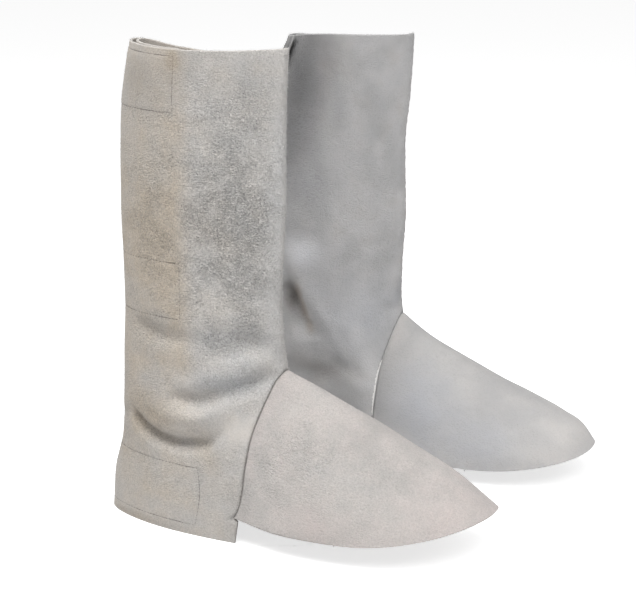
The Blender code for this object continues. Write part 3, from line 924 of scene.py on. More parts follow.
class Nodes:
    """Fills a node tree: nodes are added by their kind and joined by sockets."""

    def __init__(self, tree: bpy.types.NodeTree) -> None:
        """Keeps the tree."""
        self.tree = tree

    def add(self, kind: str, inputs: Inputs | None = None, **settings: object) -> bpy.types.Node:
        """A node with its settings, and with values or links on its inputs.

        Args:
            kind: the node's type.
            inputs: a value or another node's socket for each of them.
            settings: the node's properties.

        Returns:
            The node.
        """
        node = self.tree.nodes.new(kind)
        for name, value in settings.items():
            setattr(node, name, value)
        for key, value in (inputs or {}).items():
            if isinstance(value, Socket):
                self.tree.links.new(value, node.inputs[key])
            else:
                node.inputs[key].default_value = value
        return node

    def math(self, operation: str, *terms: object, clamp: bool = False) -> Socket:
        """The result of one sum on values or sockets."""
        terms = dict(enumerate(terms))
        return self.add("ShaderNodeMath", terms, operation=operation, use_clamp=clamp).outputs[0]

    def product(self, *terms: object) -> Socket:
        """Two values or sockets, multiplied."""
        return self.math("MULTIPLY", *terms)

    def blend(self, share: object, first: object, second: object, way: str = "MIX") -> Socket:
        """A colour between two others, by share."""
        terms = {0: share, 6: first, 7: second}
        return self.add("ShaderNodeMix", terms, data_type="RGBA", blend_type=way).outputs[2]

    def span(self, value: object, *ends: float) -> Socket:
        """The value's place between the first two ends, as a smooth step from 0 to 1 or to the other two."""
        terms = {0: value, **dict(enumerate(ends, 1))}
        return self.add("ShaderNodeMapRange", terms, interpolation_type="SMOOTHSTEP").outputs[0]

    def noise(self, where: object, scale: object, detail: float, roughness: float = 0.5) -> Socket:
        """A soft noise of that scale, per metre."""
        inputs = {"Vector": where, "Scale": scale, "Detail": detail, "Roughness": roughness}
        return self.add("ShaderNodeTexNoise", inputs).outputs[0]

    def vector(self, operation: str, *terms: object) -> Socket:
        """The result of one sum on vectors."""
        return self.add("ShaderNodeVectorMath", dict(enumerate(terms)), operation=operation).outputs[0]


class Finish(Nodes):
    """A new material, with its node tree and its shader."""

    def __init__(self, name: str, fixed: dict[str, object]) -> None:
        """Makes it, with what is the same all over on the shader's own sockets.

        Args:
            name: of the material.
            fixed: values or colours, by the names of the shader's sockets.
        """
        self.material = bpy.data.materials.new(name)
        self.material.use_nodes = True
        super().__init__(self.material.node_tree)
        self.shader = self.tree.nodes["Principled BSDF"]
        for socket, value in fixed.items():
            self.shader.inputs[socket].default_value = value

    def painted(self, colour: Socket, strength: object, depth: float, height: Socket) -> Material:
        """The material, once its colour and a bump of that strength and depth are joined to the shader.

        Args:
            colour: of the surface.
            strength: of the bump.
            depth: of the bump, in metres.
            height: from 0 to 1, over the surface.

        Returns:
            The material.
        """
        bump = self.add("ShaderNodeBump", {"Strength": strength, "Distance": depth, "Height": height})
        self.tree.links.new(colour, self.shader.inputs["Base Color"])
        self.tree.links.new(bump.outputs[0], self.shader.inputs["Normal"])
        return self.material


class Kind(Enum):
    """What a socket of a shared node group carries."""

    PLACE = "NodeSocketVector"
    VALUE = "NodeSocketFloat"
    COLOUR = "NodeSocketColor"


def new_group(name: str, inputs: dict[str, Kind], outputs: dict[str, Kind]) -> Nodes:
    """An empty shared node group with its named sockets.

    Args:
        name: of the group.
        inputs: its input sockets and what they carry.
        outputs: the same for its output sockets.

    Returns:
        A filler for the group.
    """
    group = bpy.data.node_groups.new(name, "ShaderNodeTree")
    for sockets, way in ((inputs, "INPUT"), (outputs, "OUTPUT")):
        for label, kind in sockets.items():
            group.interface.new_socket(name=label, in_out=way, socket_type=kind.value)
    return Nodes(group)


def nap_group() -> bpy.types.NodeTree:
    """The shaggy nap of split leather: short curly fibres, their clumps, and the dark pits between them.

    Formula: the place is squeezed upwards, so that the fibres lie along the leg's round, and shifted by a
    coarse noise of about a fibre's length, which curls them. A fibre is the ridge 1 - |2 noise - 1| where the
    noise passes its middle. Height = 0.55 fibres + 0.5 clumps + 0.3 fine noise.

    Returns:
        The node group.
    """
    inputs = {"Vector": Kind.PLACE, "Fibres per metre": Kind.VALUE}
    nodes = new_group("Suede nap", inputs, {"Height": Kind.VALUE, "Pits": Kind.VALUE})
    given = nodes.add("NodeGroupInput").outputs
    fibres = given["Fibres per metre"]
    squeeze, curl, ridge_width = (1.0, 1.0, 1.45), 0.9, 0.14
    coarse, clumped, fine = 0.6, 0.35, 3.1  # scales of the other noises, as shares of the fibres'
    where = nodes.vector("MULTIPLY", given["Vector"], squeeze)
    wander = nodes.noise(where, nodes.product(fibres, coarse), 1.0).node.outputs["Color"]
    middle = nodes.vector("SUBTRACT", wander, (0.5, 0.5, 0.5))
    reach = nodes.math("DIVIDE", curl, fibres)
    shift = nodes.add("ShaderNodeVectorMath", {0: middle, "Scale": reach}, operation="SCALE").outputs[0]
    curled = nodes.vector("ADD", where, shift)
    away = nodes.math("ABSOLUTE", nodes.math("SUBTRACT", nodes.noise(curled, fibres, 1.5, 0.6), 0.5))
    strands = nodes.span(away, 0.0, ridge_width, 1.0, 0.0)
    clumps = nodes.noise(where, nodes.product(fibres, clumped), 2.0, 0.6)
    grain = nodes.noise(curled, nodes.product(fibres, fine), 1.0)
    height = nodes.math("ADD", nodes.product(strands, 0.55), nodes.product(clumps, 0.5))
    height = nodes.math("ADD", height, nodes.product(grain, 0.3))
    nodes.add("NodeGroupOutput", {"Height": height, "Pits": nodes.span(height, 0.34, 0.62, 1.0, 0.0)})
    return nodes.tree


def tone_group() -> bpy.types.NodeTree:
    """The uneven tone of a hide: wide soft blotches and smaller cloudy ones, between two colours.

    Formula: 0.65 of a noise 6 cm wide and 0.35 of one 1.5 cm wide, as a smooth step from shade to light.

    Returns:
        The node group.
    """
    inputs = {"Vector": Kind.PLACE, "Light": Kind.COLOUR, "Shade": Kind.COLOUR}
    nodes = new_group("Hide tone", inputs, {"Color": Kind.COLOUR, "Cloud": Kind.VALUE})
    given = nodes.add("NodeGroupInput").outputs
    wide, small = (nodes.noise(given["Vector"], per_metre, 2.0) for per_metre in (16.0, 66.0))
    cloud = nodes.math("ADD", nodes.product(wide, 0.65), nodes.product(small, 0.35))
    cloud = nodes.span(cloud, 0.36, 0.64, 0.0, 1.0)
    colour = nodes.blend(cloud, given["Shade"], given["Light"])
    nodes.add("NodeGroupOutput", {"Color": colour, "Cloud": cloud})
    return nodes.tree


def outline_group() -> bpy.types.NodeTree:
    """The stitched outline of a patch, as a thin line on the flat leather.

    Formula: the distance in from the nearest of the patch's four sides, of which the front one may lean.
    The line is 1 where it is 0, and fades within 0.6 mm to both sides.

    Returns:
        The node group.
    """
    sides = dict.fromkeys(("Front", "Lean", "Back", "Bottom", "Top", "Stretch"), Kind.VALUE)
    nodes = new_group("Patch outline", {"Vector": Kind.PLACE, **sides}, {"Line": Kind.VALUE})
    given = nodes.add("NodeGroupInput").outputs
    parts = nodes.add("ShaderNodeSeparateXYZ", {0: given["Vector"]}).outputs
    up = nodes.math("SUBTRACT", parts[1], given["Bottom"])
    down = nodes.math("SUBTRACT", given["Top"], parts[1])
    front = nodes.math("ADD", given["Front"], nodes.product(given["Lean"], up))
    front = nodes.product(nodes.math("SUBTRACT", parts[0], front), given["Stretch"])
    back = nodes.product(nodes.math("SUBTRACT", given["Back"], parts[0]), given["Stretch"])
    inside = nodes.math("MINIMUM", nodes.math("MINIMUM", front, back), nodes.math("MINIMUM", up, down))
    line = nodes.span(nodes.math("ABSOLUTE", inside), 0.1 * MM, 0.6 * MM, 1.0, 0.0)
    nodes.add("NodeGroupOutput", {"Line": line})
    return nodes.tree


def weave_group() -> bpy.types.NodeTree:
    """The woven ground of a tape: threads along and across, on the tape's own flat map.

    Formula: |sin| of the place along and across times pi times the threads per metre, the larger of both.

    Returns:
        The node group.
    """
    inputs = {"Vector": Kind.PLACE, "Threads per metre": Kind.VALUE}
    nodes = new_group("Tape weave", inputs, {"Height": Kind.VALUE})
    given = nodes.add("NodeGroupInput").outputs
    parts = nodes.add("ShaderNodeSeparateXYZ", {0: given["Vector"]}).outputs
    turns = nodes.product(given["Threads per metre"], math.pi)
    waves = [nodes.math("ABSOLUTE", nodes.math("SINE", nodes.product(parts[i], turns))) for i in (0, 1)]
    nodes.add("NodeGroupOutput", {"Height": nodes.math("MAXIMUM", *waves)})
    return nodes.tree


class Groups:
    """The shared node groups, each built once."""

    def __init__(self) -> None:
        """Builds them."""
        self.nap = nap_group()
        self.tone = tone_group()
        self.weave = weave_group()
        self.outline = outline_group()


# Finishes


def grey(share: float) -> Colour:
    """An even grey."""
    return (share, share, share)


def opaque(colour: Colour) -> tuple[float, ...]:
    """The colour with an alpha of 1."""
    return (*colour, 1.0)


@dataclass(frozen=True)
class Suede:
    """Split leather with a raised nap."""

    name: str
    light: Colour
    shade: Colour
    warm: Colour  # where the hide is warmer, by the value "warm"
    cool: Colour  # where that value is below 0
    raw: Colour  # cut edge
    patches: tuple[Strip, ...] = ()  # whose outlines are stitched through the leather
    fibres: float = 410.0
    nap_depth: float = 0.0032
    fleck: float = 0.55  # how much lighter the fibres' tips are than the pits between them
    middle: float = 0.55  # height of the nap that is neither
    grain: float = 0.0  # contrast of the finest fibre tips
    specks: float = 0.25  # how dark the smallest pits are
    mottle: float = 0.8  # how much the hue wanders between warm and cool
    tone_gain: float = 0.15
    # how dark the painted shade in creases and along the seams is
    crease_shade: float = 0.2
    line_shade: float = 0.42  # how dark the painted shade in the stitched grooves is
    line_depth: float = 0.6  # and how deep, as a share of the nap
    sheen: float = 0.25

    def material(self, groups: Groups) -> Material:
        """The leather's material.

        Formula: a colour between light and shade, then warm or cool by place, times a gain that is 1 with the
        place's tone of stain and painted shade, the nap's flecks, tips and specks, and the painted shade of
        creases, seams and stitched lines added.

        Args:
            groups: the shared node groups.

        Returns:
            The material.
        """
        fixed = {"Roughness": 0.95, "Specular IOR Level": 0.15, "Sheen Roughness": 0.55}
        nodes = Finish(self.name, {**fixed, "Sheen Weight": self.sheen})
        patch_scale, hue_scale, speck_scale, tip_scale = 48.0, 62.0, 560.0, 820.0  # per metre
        where = nodes.add("ShaderNodeTexCoord").outputs["Object"]
        named = ("shag", "warm", "crease", "edge", "tone")
        shag, warm, crease, edge, tone = (
            nodes.add("ShaderNodeAttribute", attribute_name=key).outputs["Fac"] for key in named
        )
        inputs = {"Vector": where, "Fibres per metre": self.fibres}
        nap = nodes.add("ShaderNodeGroup", inputs, node_tree=groups.nap).outputs["Height"]
        inputs = {"Vector": where, "Light": opaque(self.light), "Shade": opaque(self.shade)}
        hide = nodes.add("ShaderNodeGroup", inputs, node_tree=groups.tone).outputs
        patchy = nodes.span(nodes.noise(where, patch_scale, 2.0, 0.6), 0.36, 0.62, 0.7, 1.2)
        shag = nodes.math("MULTIPLY", shag, patchy, clamp=True)
        wander = nodes.math("SUBTRACT", nodes.noise(where, hue_scale, 2.0), 0.5)
        hue = nodes.math("ADD", warm, nodes.product(wander, self.mottle))
        warmth = nodes.math("MULTIPLY", hue, nodes.span(hide["Cloud"], 0.0, 1.0, 0.6, 1.0), clamp=True)
        colour = nodes.blend(warmth, hide["Color"], opaque(self.warm))
        colour = nodes.blend(nodes.math("MULTIPLY", hue, -1.0, clamp=True), colour, opaque(self.cool))
        fleck = nodes.product(nodes.math("SUBTRACT", nap, self.middle), self.fleck)
        # the place's tone: stains, and painted shade and painted highlight on the folds and edges
        gain = nodes.math("MULTIPLY_ADD", tone, self.tone_gain, 1.0)
        gain = nodes.math("ADD", gain, nodes.product(fleck, shag))
        # painted shade in the creases, hollows and seams
        gain = nodes.math("SUBTRACT", gain, nodes.product(crease, self.crease_shade))
        specks = nodes.product(nodes.span(nodes.noise(where, speck_scale, 1.0), 0.6, 0.74, 0.0, 1.0), shag)
        gain = nodes.math("SUBTRACT", gain, nodes.product(specks, self.specks))
        tips = nodes.math("SUBTRACT", nodes.noise(where, tip_scale, 1.0, 0.6), 0.5)
        tips = nodes.product(tips, nodes.math("ADD", shag, 0.3))
        gain = nodes.math("ADD", gain, nodes.product(tips, self.grain))
        height = nap
        if self.patches:
            line = self.stitched_line(nodes, groups, where)
            # painted shade in the stitched grooves
            gain = nodes.math("SUBTRACT", gain, nodes.product(line, self.line_shade))
            height = nodes.math("SUBTRACT", height, nodes.product(line, self.line_depth))
        colour = nodes.blend(1.0, colour, gain, "MULTIPLY")
        colour = nodes.blend(nodes.product(edge, 0.8), colour, opaque(self.raw))
        return nodes.painted(colour, nodes.math("MULTIPLY_ADD", shag, 0.85, 0.12), self.nap_depth, height)

    def stitched_line(self, nodes: Nodes, groups: Groups, where: Socket) -> Socket:
        """The thin sunken lines of the stitched patches, for painted shade, stronger in some places than in
        others.

        Args:
            nodes: filler of the material's tree.
            groups: the shared node groups.
            where: the place in the leather.

        Returns:
            1 on the lines, 0 off them.
        """
        line = 0.0
        flat = nodes.add("ShaderNodeUVMap", uv_map="cloth").outputs[0]
        for patch in self.patches:
            inputs = {
                "Vector": flat,
                "Front": patch.low_turn * DEGREE * MM,
                "Lean": (patch.high_turn - patch.low_turn) * DEGREE / (patch.top - patch.bottom),
                "Back": TAPE_TO * DEGREE * MM,
                "Bottom": patch.bottom * MM,
                "Top": patch.top * MM,
                "Stretch": patch.degree / DEGREE,
            }
            outline = nodes.add("ShaderNodeGroup", inputs, node_tree=groups.outline).outputs[0]
            line = nodes.math("MAXIMUM", line, outline)
        return nodes.product(line, nodes.span(nodes.noise(where, 70.0, 1.0), 0.38, 0.6, 0.25, 1.0))


@dataclass(frozen=True)
class TapeCloth:
    """Woven nylon of a hook or loop tape."""

    name: str
    light: Colour
    shade: Colour
    pile: float  # how deep its hooks or loops look

    def material(self, groups: Groups) -> Material:
        """The tape's material: a weave with a pile on it, lighter where it stands higher.

        Args:
            groups: the shared node groups.

        Returns:
            The material.
        """
        nodes = Finish(self.name, {"Roughness": 0.7, "Sheen Weight": 0.2})
        flat = nodes.add("ShaderNodeUVMap", uv_map="cloth").outputs[0]
        inputs = {"Vector": flat, "Threads per metre": 700.0}
        weave = nodes.add("ShaderNodeGroup", inputs, node_tree=groups.weave)
        inputs = {"Vector": nodes.add("ShaderNodeTexCoord").outputs["Object"], "Fibres per metre": 1500.0}
        nap = nodes.add("ShaderNodeGroup", inputs, node_tree=groups.nap)
        height = nodes.math("ADD", weave.outputs[0], nodes.product(nap.outputs["Height"], self.pile))
        colour = nodes.blend(nodes.span(height, 0.2, 1.2, 0.0, 1.0), opaque(self.shade), opaque(self.light))
        return nodes.painted(colour, 0.8, 0.6 * MM, height)


@dataclass(frozen=True)
class Thread:
    """Spun sewing thread, or a loose leather fibre."""

    name: str
    colour: Colour
    fleck: float  # how much of the dark shows in its pits
    dark: float = 0.7  # the pits' colour, as a share of the thread's

    def material(self, groups: Groups) -> Material:
        """The thread's material: very fine fibres with darker pits.

        Args:
            groups: the shared node groups.

        Returns:
            The material.
        """
        nodes = Finish(self.name, {"Roughness": 0.85, "Sheen Weight": 0.2})
        inputs = {"Vector": nodes.add("ShaderNodeTexCoord").outputs["Object"], "Fibres per metre": 2600.0}
        nap = nodes.add("ShaderNodeGroup", inputs, node_tree=groups.nap).outputs
        dark = opaque(tuple(self.dark * c for c in self.colour))
        colour = nodes.blend(nodes.product(nap["Pits"], self.fleck), opaque(self.colour), dark)
        return nodes.painted(colour, 0.5, 0.2 * MM, nap["Height"])


RIGHT_SUEDE = Suede(
    name="right suede",
    light=(0.53, 0.505, 0.48),
    shade=(0.46, 0.445, 0.43),
    warm=(0.475, 0.413, 0.34),
    cool=(0.455, 0.46, 0.47),
    raw=(0.7, 0.67, 0.63),
    patches=STRIPS,
    grain=1.15,
)
RIGHT_VAMP_SUEDE = Suede(
    name="right vamp suede",
    light=(0.505, 0.477, 0.457),
    shade=(0.422, 0.402, 0.387),
    warm=(0.545, 0.487, 0.467),
    cool=(0.437, 0.427, 0.42),
    raw=(0.7, 0.67, 0.63),
    nap_depth=0.002,
    grain=0.75,
    mottle=1.2,
)
LEFT_SUEDE = Suede(
    name="left suede",
    light=(0.472, 0.465, 0.465),
    shade=(0.378, 0.374, 0.375),
    warm=(0.4, 0.358, 0.325),
    cool=(0.405, 0.41, 0.43),
    raw=(0.47, 0.47, 0.465),
    patches=STRIPS,
    fibres=420.0,
    nap_depth=0.0011,
    fleck=0.4,
)
LEFT_VAMP_SUEDE = Suede(
    name="left vamp suede",
    light=(0.452, 0.444, 0.44),
    shade=(0.396, 0.389, 0.389),
    warm=(0.5, 0.475, 0.455),
    cool=(0.41, 0.415, 0.437),
    raw=(0.7, 0.7, 0.69),
    fibres=420.0,
    nap_depth=0.0011,
    fleck=0.4,
)
HOOK_CLOTH = TapeCloth(name="hook tape cloth", light=grey(0.07), shade=grey(0.02), pile=1.2)
LOOP_CLOTH = TapeCloth(name="loop tape cloth", light=grey(0.09), shade=grey(0.025), pile=1.8)
STITCH_THREAD = Thread(name="sewing thread", colour=(0.15, 0.13, 0.115), fleck=0.6)
RIGHT_FIBRE = Thread(name="right leather fibre", colour=(0.6, 0.59, 0.575), fleck=0.3)
LEFT_FIBRE = Thread(name="left leather fibre", colour=grey(0.46), fleck=0.3)
RAW_LEATHER = Thread(name="raw leather edge", colour=(0.86, 0.85, 0.83), fleck=0.2)


# Pieces


@dataclass
class LegPanel:
    """The leg panel: one piece of leather from the lap's upper edge, round the front, to its lower edge."""

    guard: Guard
    cut: tuple[float, float]  # flat width and length, in metres
    area: float
    over_columns: int = 108
    under_columns: int = 130
    seam_count: int = 60
    row_step: float = 2.6

    def heights(self) -> tuple[Array, int]:
        """Heights of the rows, closer at cut edges and patches, and the number of the instep's row.

        Returns:
            The heights, in mm, and the number.
        """
        _, seam = seam_rows(self.seam_count)
        below = np.array([0.0, 0.7, 2.0, 4.4, 6.8, 7.6, 8.4, 9.6, 12.0, 14.6, 17.0])
        count = int((HEIGHT - NOTCH_TOP) / self.row_step)
        above = np.linspace(NOTCH_TOP, HEIGHT - 0.7, count)[1:]
        edges = np.array([edge for strip in STRIPS[:2] for edge in (strip.bottom, strip.top)])
        lines = (edges[:, None] + (-1.0, 0.0, 1.0)).ravel()
        above = above[np.abs(above[:, None] - lines).min(1) > 0.8]
        above = np.sort(np.concatenate([above, lines, [HEIGHT]]))
        return np.concatenate([below, seam, above]), len(below) + len(seam) - 1

    def turns(self, heights: Array, last_turn: float, count: int) -> Array:
        """Turns of the columns of each row, evenly from the notch or the front to a free edge of the lap.

        Args:
            heights: of the rows, in mm.
            last_turn: of the free edge, in degrees.
            count: how many columns.

        Returns:
            The turns, rows x columns.
        """
        start = np.where(heights < NOTCH_TOP, notch_turn(heights), 0.0)[:, None]
        close = (0.0035, 0.9965)  # one more column beside each cut edge, which keeps its round narrow
        share = np.sort(np.concatenate([np.linspace(0.0, 1.0, count), close]))[None, :]
        return math.copysign(1.0, last_turn) * (start + (abs(last_turn) - start) * share)

    def shape(self) -> Shape:
        """The wall, as two grids that meet along the front above the instep.

        Returns:
            The shape, in metres.
        """
        guard = self.guard
        heights, instep = self.heights()
        outer, inner, flat, numbers, values = [], [], [], [], []
        count = 0
        for last_turn, columns in ((OVER_EDGE, self.over_columns), (UNDER_EDGE, self.under_columns)):
            turns = self.turns(heights, last_turn, columns)
            tall = np.repeat(heights[:, None], turns.shape[1], 1)
            depth = lap_depth(turns)
            for grids, more in ((outer, 0.0), (inner, WALL)):
                points = guard.panel_point(turns, tall, depth + more)
                below = heights < NOTCH_FOOT
                points[below, 0, 0] += HEM_TAB * heights[below] / NOTCH_FOOT
                grids.append(points.reshape(-1, 3))
            flat.append(np.stack([turns * DEGREE, tall], -1).reshape(-1, 2))
            values.append(self.values(turns, tall))
            numbers.append(np.arange(turns.size).reshape(turns.shape) + count)
            count += turns.size
        numbers[1][instep:, 0] = numbers[0][instep:, 0]
        quads = np.concatenate([grid_quads(numbers[1][:, ::-1]), grid_quads(numbers[0])])
        used, quads = np.unique(quads, return_inverse=True)
        shape = closed_wall(
            np.concatenate(outer)[used],
            np.concatenate(inner)[used],
            quads.reshape(-1, 4),
            {key: np.concatenate([v[key] for v in values])[used] for key in values[0]},
            np.concatenate(flat)[used],
        )
        shape.points[:, 2] = shape.points[:, 2].clip(0.0)
        return shape.stood(guard)

    def values(self, turn: Array, height: Array) -> dict[str, Array]:
        """Named values for the leather's material: painted crease and seam shade, shaggy, warm, light and
        dark places.

        Args:
            turn, height: of each point.

        Returns:
            One flat array for each name.
        """
        guard = self.guard
        hollow = -(guard.fold_rise(turn, height) + guard.crease_rise(turn, height))
        seam = np.exp(-((seam_distance(turn, height) / 0.8) ** 2))
        pad = guard.pad_share(turn, height)
        top = ease(height, 300, 320)
        behind = ease(np.abs(turn), 78, 96) * ease(height, 96, 140)
        values = {
            # painted shade in the hollows of folds and creases, and along the seam
            "crease": np.maximum(ease(hollow, 2.0, 8.0), 3.2 * seam),
            "shag": guard.stain_and_shade_share(turn, height, "shag") * (1.0 - 0.3 * pad * top),
            "warm": guard.warm_back * behind * (1.0 - 0.35 * top) + guard.stain_and_shade_share(turn, height, "warm"),
            "tone": guard.stain_and_shade_share(turn, height, "tone"),
        }
        return {key: value.ravel() for key, value in values.items()}


@dataclass
class Vamp:
    """The toe flap, sewn into the notch of the leg panel."""

    guard: Guard
    cut: tuple[float, float]
    area: float
    tones: tuple[float, float]  # how light the hide is at the seam and at the toe
    marks: tuple[Mark, ...]
    seam_count: int = 58
    arches: int = 84

    def grid(self) -> tuple[Array, Array, Array]:
        """Outer points of the vamp: arches that lean forward, from the seam over the foot to the toe.

        Formula: each arch is (1 - u) of the seam's outline and u of the round of the toe, on a place, a
        width, a top line and a hem that change with u.

        Returns:
            The points, the share across from 1 to -1, and the share along.
        """
        guard = self.guard
        turns, heights = seam_rows(self.seam_count)
        turns = np.insert(turns, 1, 89.7)
        heights = notch_height(turns)
        across = np.concatenate([turns / 90.0, -turns[::-1][1:] / 90.0])
        tall = np.concatenate([heights, heights[::-1][1:]])
        bare = replace(guard, creases=())
        seam = bare.panel_point(across * 90.0, tall)
        foot = bare.panel_point(90.0, NOTCH_FOOT)
        instep = bare.panel_point(0.0, NOTCH_TOP)
        lean = (seam[:, 0] - foot[0]) / (instep[0] - foot[0])
        side = seam[:, 1] / foot[1]
        rise = (seam[:, 2] - foot[2]) / (instep[2] - foot[2])
        angle = across * math.pi / 2
        power = 2.0 / TOE_ROUNDNESS
        toe_lean = np.cos(angle).clip(0) ** power
        toe_side = np.sign(angle) * np.abs(np.sin(angle)) ** power
        toe_rise = np.cos(angle).clip(0) ** TOE_ARCH_POWER
        close = (0.004, 0.95)  # one more arch beside the seam and the toe's cut edge
        shares = np.sort(np.concatenate([np.linspace(0.0, 1.0, self.arches), close]))
        u = (1.0 - (1.0 - shares) ** 1.5)[:, None]  # closer together towards the toe
        start = foot[0] + (BALL - foot[0]) * u
        length = (instep[0] - foot[0]) * (1 - u) + (TOE - BALL) * u
        half_width = curve_through([0, 0.5, 1], [abs(foot[1]), MID_HALF_WIDTH, BALL_HALF_WIDTH], u)
        ridge = curve_through(RIDGE_STEPS, guard.ridge, u)
        hem = curve_through([0, 0.5, 1], [NOTCH_FOOT, guard.hem_height, guard.hem_height], u)
        x = start + length * ((1 - u) * lean + u * toe_lean)
        y = guard.side.value * half_width * ((1 - u) * side + u * toe_side)
        z = hem + (instep[2] - foot[2]) * ridge * ((1 - u) * rise + u * toe_rise)
        forward = ((x - BALL) / (TOE - BALL)).clip(0)
        z = z + (guard.toe_height - guard.hem_height) * u * forward**2
        y = y - guard.side.value * TOE_INWARD * ((x - foot[0]) / (TOE - foot[0])) ** 2
        return np.stack([x, y, z], -1), across, u[:, 0]

    def shape(self) -> Shape:
        """The wall, with its back edge along the notch, a seam's gap away.

        Returns:
            The shape, in metres.
        """
        guard = self.guard
        outer, across, along_share = self.grid()
        turns = across * 90.0
        out = guard.outward(turns, notch_height(np.abs(turns)))
        out = np.stack([out[:, 0], guard.side.value * out[:, 1], np.zeros(len(out))], -1)
        along = unit(np.gradient(outer[0], axis=0))
        away = unit(np.cross(out, along)) * guard.side.value
        normals = unit(np.cross(np.gradient(outer, axis=0), np.gradient(outer, axis=1))) * -guard.side.value
        normals[0] = out
        outer[0] += away * SEAM_GAP
        from_seam = np.cumsum(np.linalg.norm(np.diff(outer, axis=0, prepend=outer[:1]), axis=-1), axis=0)
        roll = np.exp(-((from_seam / SEAM_ROLL_WIDTH) ** 2)) - np.exp(-((from_seam / 6.0) ** 2))
        p = guard.phase
        waves = 0.5 * np.sin(outer[..., 0] * 0.047 + p) * np.sin(outer[..., 1] * 0.06 + 2 * p)
        waves = waves + 0.28 * np.sin(outer[..., 0] * 0.11 + 4 * p + 0.07 * outer[..., 1])
        waves = waves * ease(from_seam, 0.0, 12.0)
        outer = outer + normals * (waves - SEAM_ROLL * roll)[..., None]
        inner = outer - normals * WALL
        numbers = np.arange(outer.size // 3).reshape(outer.shape[:2])
        half_round = 95.0  # from the top line to the hem, in mm
        flat = np.stack([from_seam, np.broadcast_to(across * half_round, from_seam.shape)], -1)
        warm_edge = 0.4 * np.exp(-((from_seam / 9.0) ** 2)) * ease(outer[..., 2], 30, 60)
        tone = self.tones[0] + (self.tones[1] - self.tones[0]) * along_share[:, None]
        values = {
            # painted shade along the seam
            "crease": 2.4 * np.exp(-((from_seam / 0.5) ** 2)),
            "shag": 0.24 + self.marked(outer, "shag"),
            "warm": 0.2 + warm_edge + self.marked(outer, "warm"),
            "tone": tone + self.marked(outer, "tone"),
        }
        values = {key: value.ravel() for key, value in values.items()}
        points = outer.reshape(-1, 3), inner.reshape(-1, 3)
        return closed_wall(*points, grid_quads(numbers), values, flat.reshape(-1, 2)).stood(guard)

    def marked(self, points: Array, kind: str) -> Array:
        """Sum of the vamp's marks of one kind at each point.

        Args:
            points: of the vamp, in mm.
            kind: the field of the marks that is summed.

        Returns:
            The sums.
        """
        total = np.zeros(points.shape[:-1])
        for mark in self.marks:
            over, up = (points[..., 0] - mark.x) / mark.over, (points[..., 2] - mark.z) / mark.up
            total = total + getattr(mark, kind) * np.exp(-(over**2) - up**2)
        return total


@dataclass
class Tape:
    """A hook or loop tape in the lap."""

    guard: Guard
    strip: Strip
    kind: Fastening

    def shape(self) -> Shape:
        """The tape as a closed wall with a fine grid.

        Returns:
            The shape, in metres.
        """
        strip = self.strip
        tall = np.linspace(strip.bottom - 0.5, strip.top + 0.5, 26)[:, None]
        start = strip.edge_turn(tall) - 2.0 / strip.degree
        turns = start + (TAPE_TO - start) * np.linspace(0.0, 1.0, 70)[None, :]
        turns, tall = np.broadcast_arrays(turns, tall)
        outer = self.guard.panel_point(turns, tall, self.kind.value)
        inner = self.guard.panel_point(turns, tall, self.kind.value + TAPE)
        numbers = np.arange(turns.size).reshape(turns.shape)
        flat = np.stack([turns * DEGREE, tall], -1)
        points = outer.reshape(-1, 3), inner.reshape(-1, 3)
        return closed_wall(*points, grid_quads(numbers), {}, flat.reshape(-1, 2)).stood(self.guard)


@dataclass
class Stitches:
    """The row of stitches that holds a tape, all round its patch."""

    guard: Guard
    strip: Strip
    pitch: float = 3.1
    length: float = 2.2
    radius: float = 0.19
    corner: float = 1.2
    sink: float = 0.4  # how deep the ends of a stitch go into the leather

    def line(self) -> tuple[Array, Array]:
        """Turns and heights of fine points along the outline, a rectangle with rounded corners.

        Returns:
            The turns and the heights.
        """
        strip = self.strip
        half_over = (TAPE_TO - (strip.low_turn + strip.high_turn) / 2) * strip.degree / 2
        half_up = (strip.top - strip.bottom) / 2
        angle = np.linspace(0, 2 * math.pi, 48, endpoint=False) + 0.01
        over = np.sign(np.cos(angle)) * (half_over - self.corner) + self.corner * np.cos(angle)
        up = np.sign(np.sin(angle)) * (half_up - self.corner) + self.corner * np.sin(angle)
        knots = np.stack([over, up], 1)
        knots = np.concatenate([knots, knots[:1]])
        place = np.concatenate([[0.0], np.cumsum(np.hypot(*np.diff(knots, axis=0).T))])
        fine = np.linspace(0.0, place[-1], 1500)
        over, up = np.interp(fine, place, knots[:, 0]), np.interp(fine, place, knots[:, 1])
        height = (strip.top + strip.bottom) / 2 + up
        edge = strip.edge_turn(height)
        return edge + (TAPE_TO - edge) * (over / half_over + 1.0) / 2, height

    def shape(self) -> Shape:
        """The stitches: short bowed tubes, spaced evenly on the leather.

        Returns:
            The shape, in metres.
        """
        guard = self.guard
        turns, heights = self.line()
        points = guard.panel_point(turns, heights)
        place = line_place(points)
        count = int(place[-1] / self.pitch)
        share = np.linspace(-0.5, 0.5, 5)
        at = (np.arange(count)[:, None] + 0.5) * place[-1] / count + share * self.length
        turn, height = np.interp(at, place, turns), np.interp(at, place, heights)
        bow = -self.sink * np.abs(2 * share) ** 2.5
        centres = guard.panel_point(turn, height) + guard.panel_normal(turn, height) * bow[None, :, None]
        radius = np.broadcast_to(self.radius * np.array([0.5, 0.95, 1.0, 0.95, 0.5]), at.shape)
        normals = guard.panel_normal(turn[:, 2], height[:, 2])
        return tubes(guard, centres, radius, 6, normals)


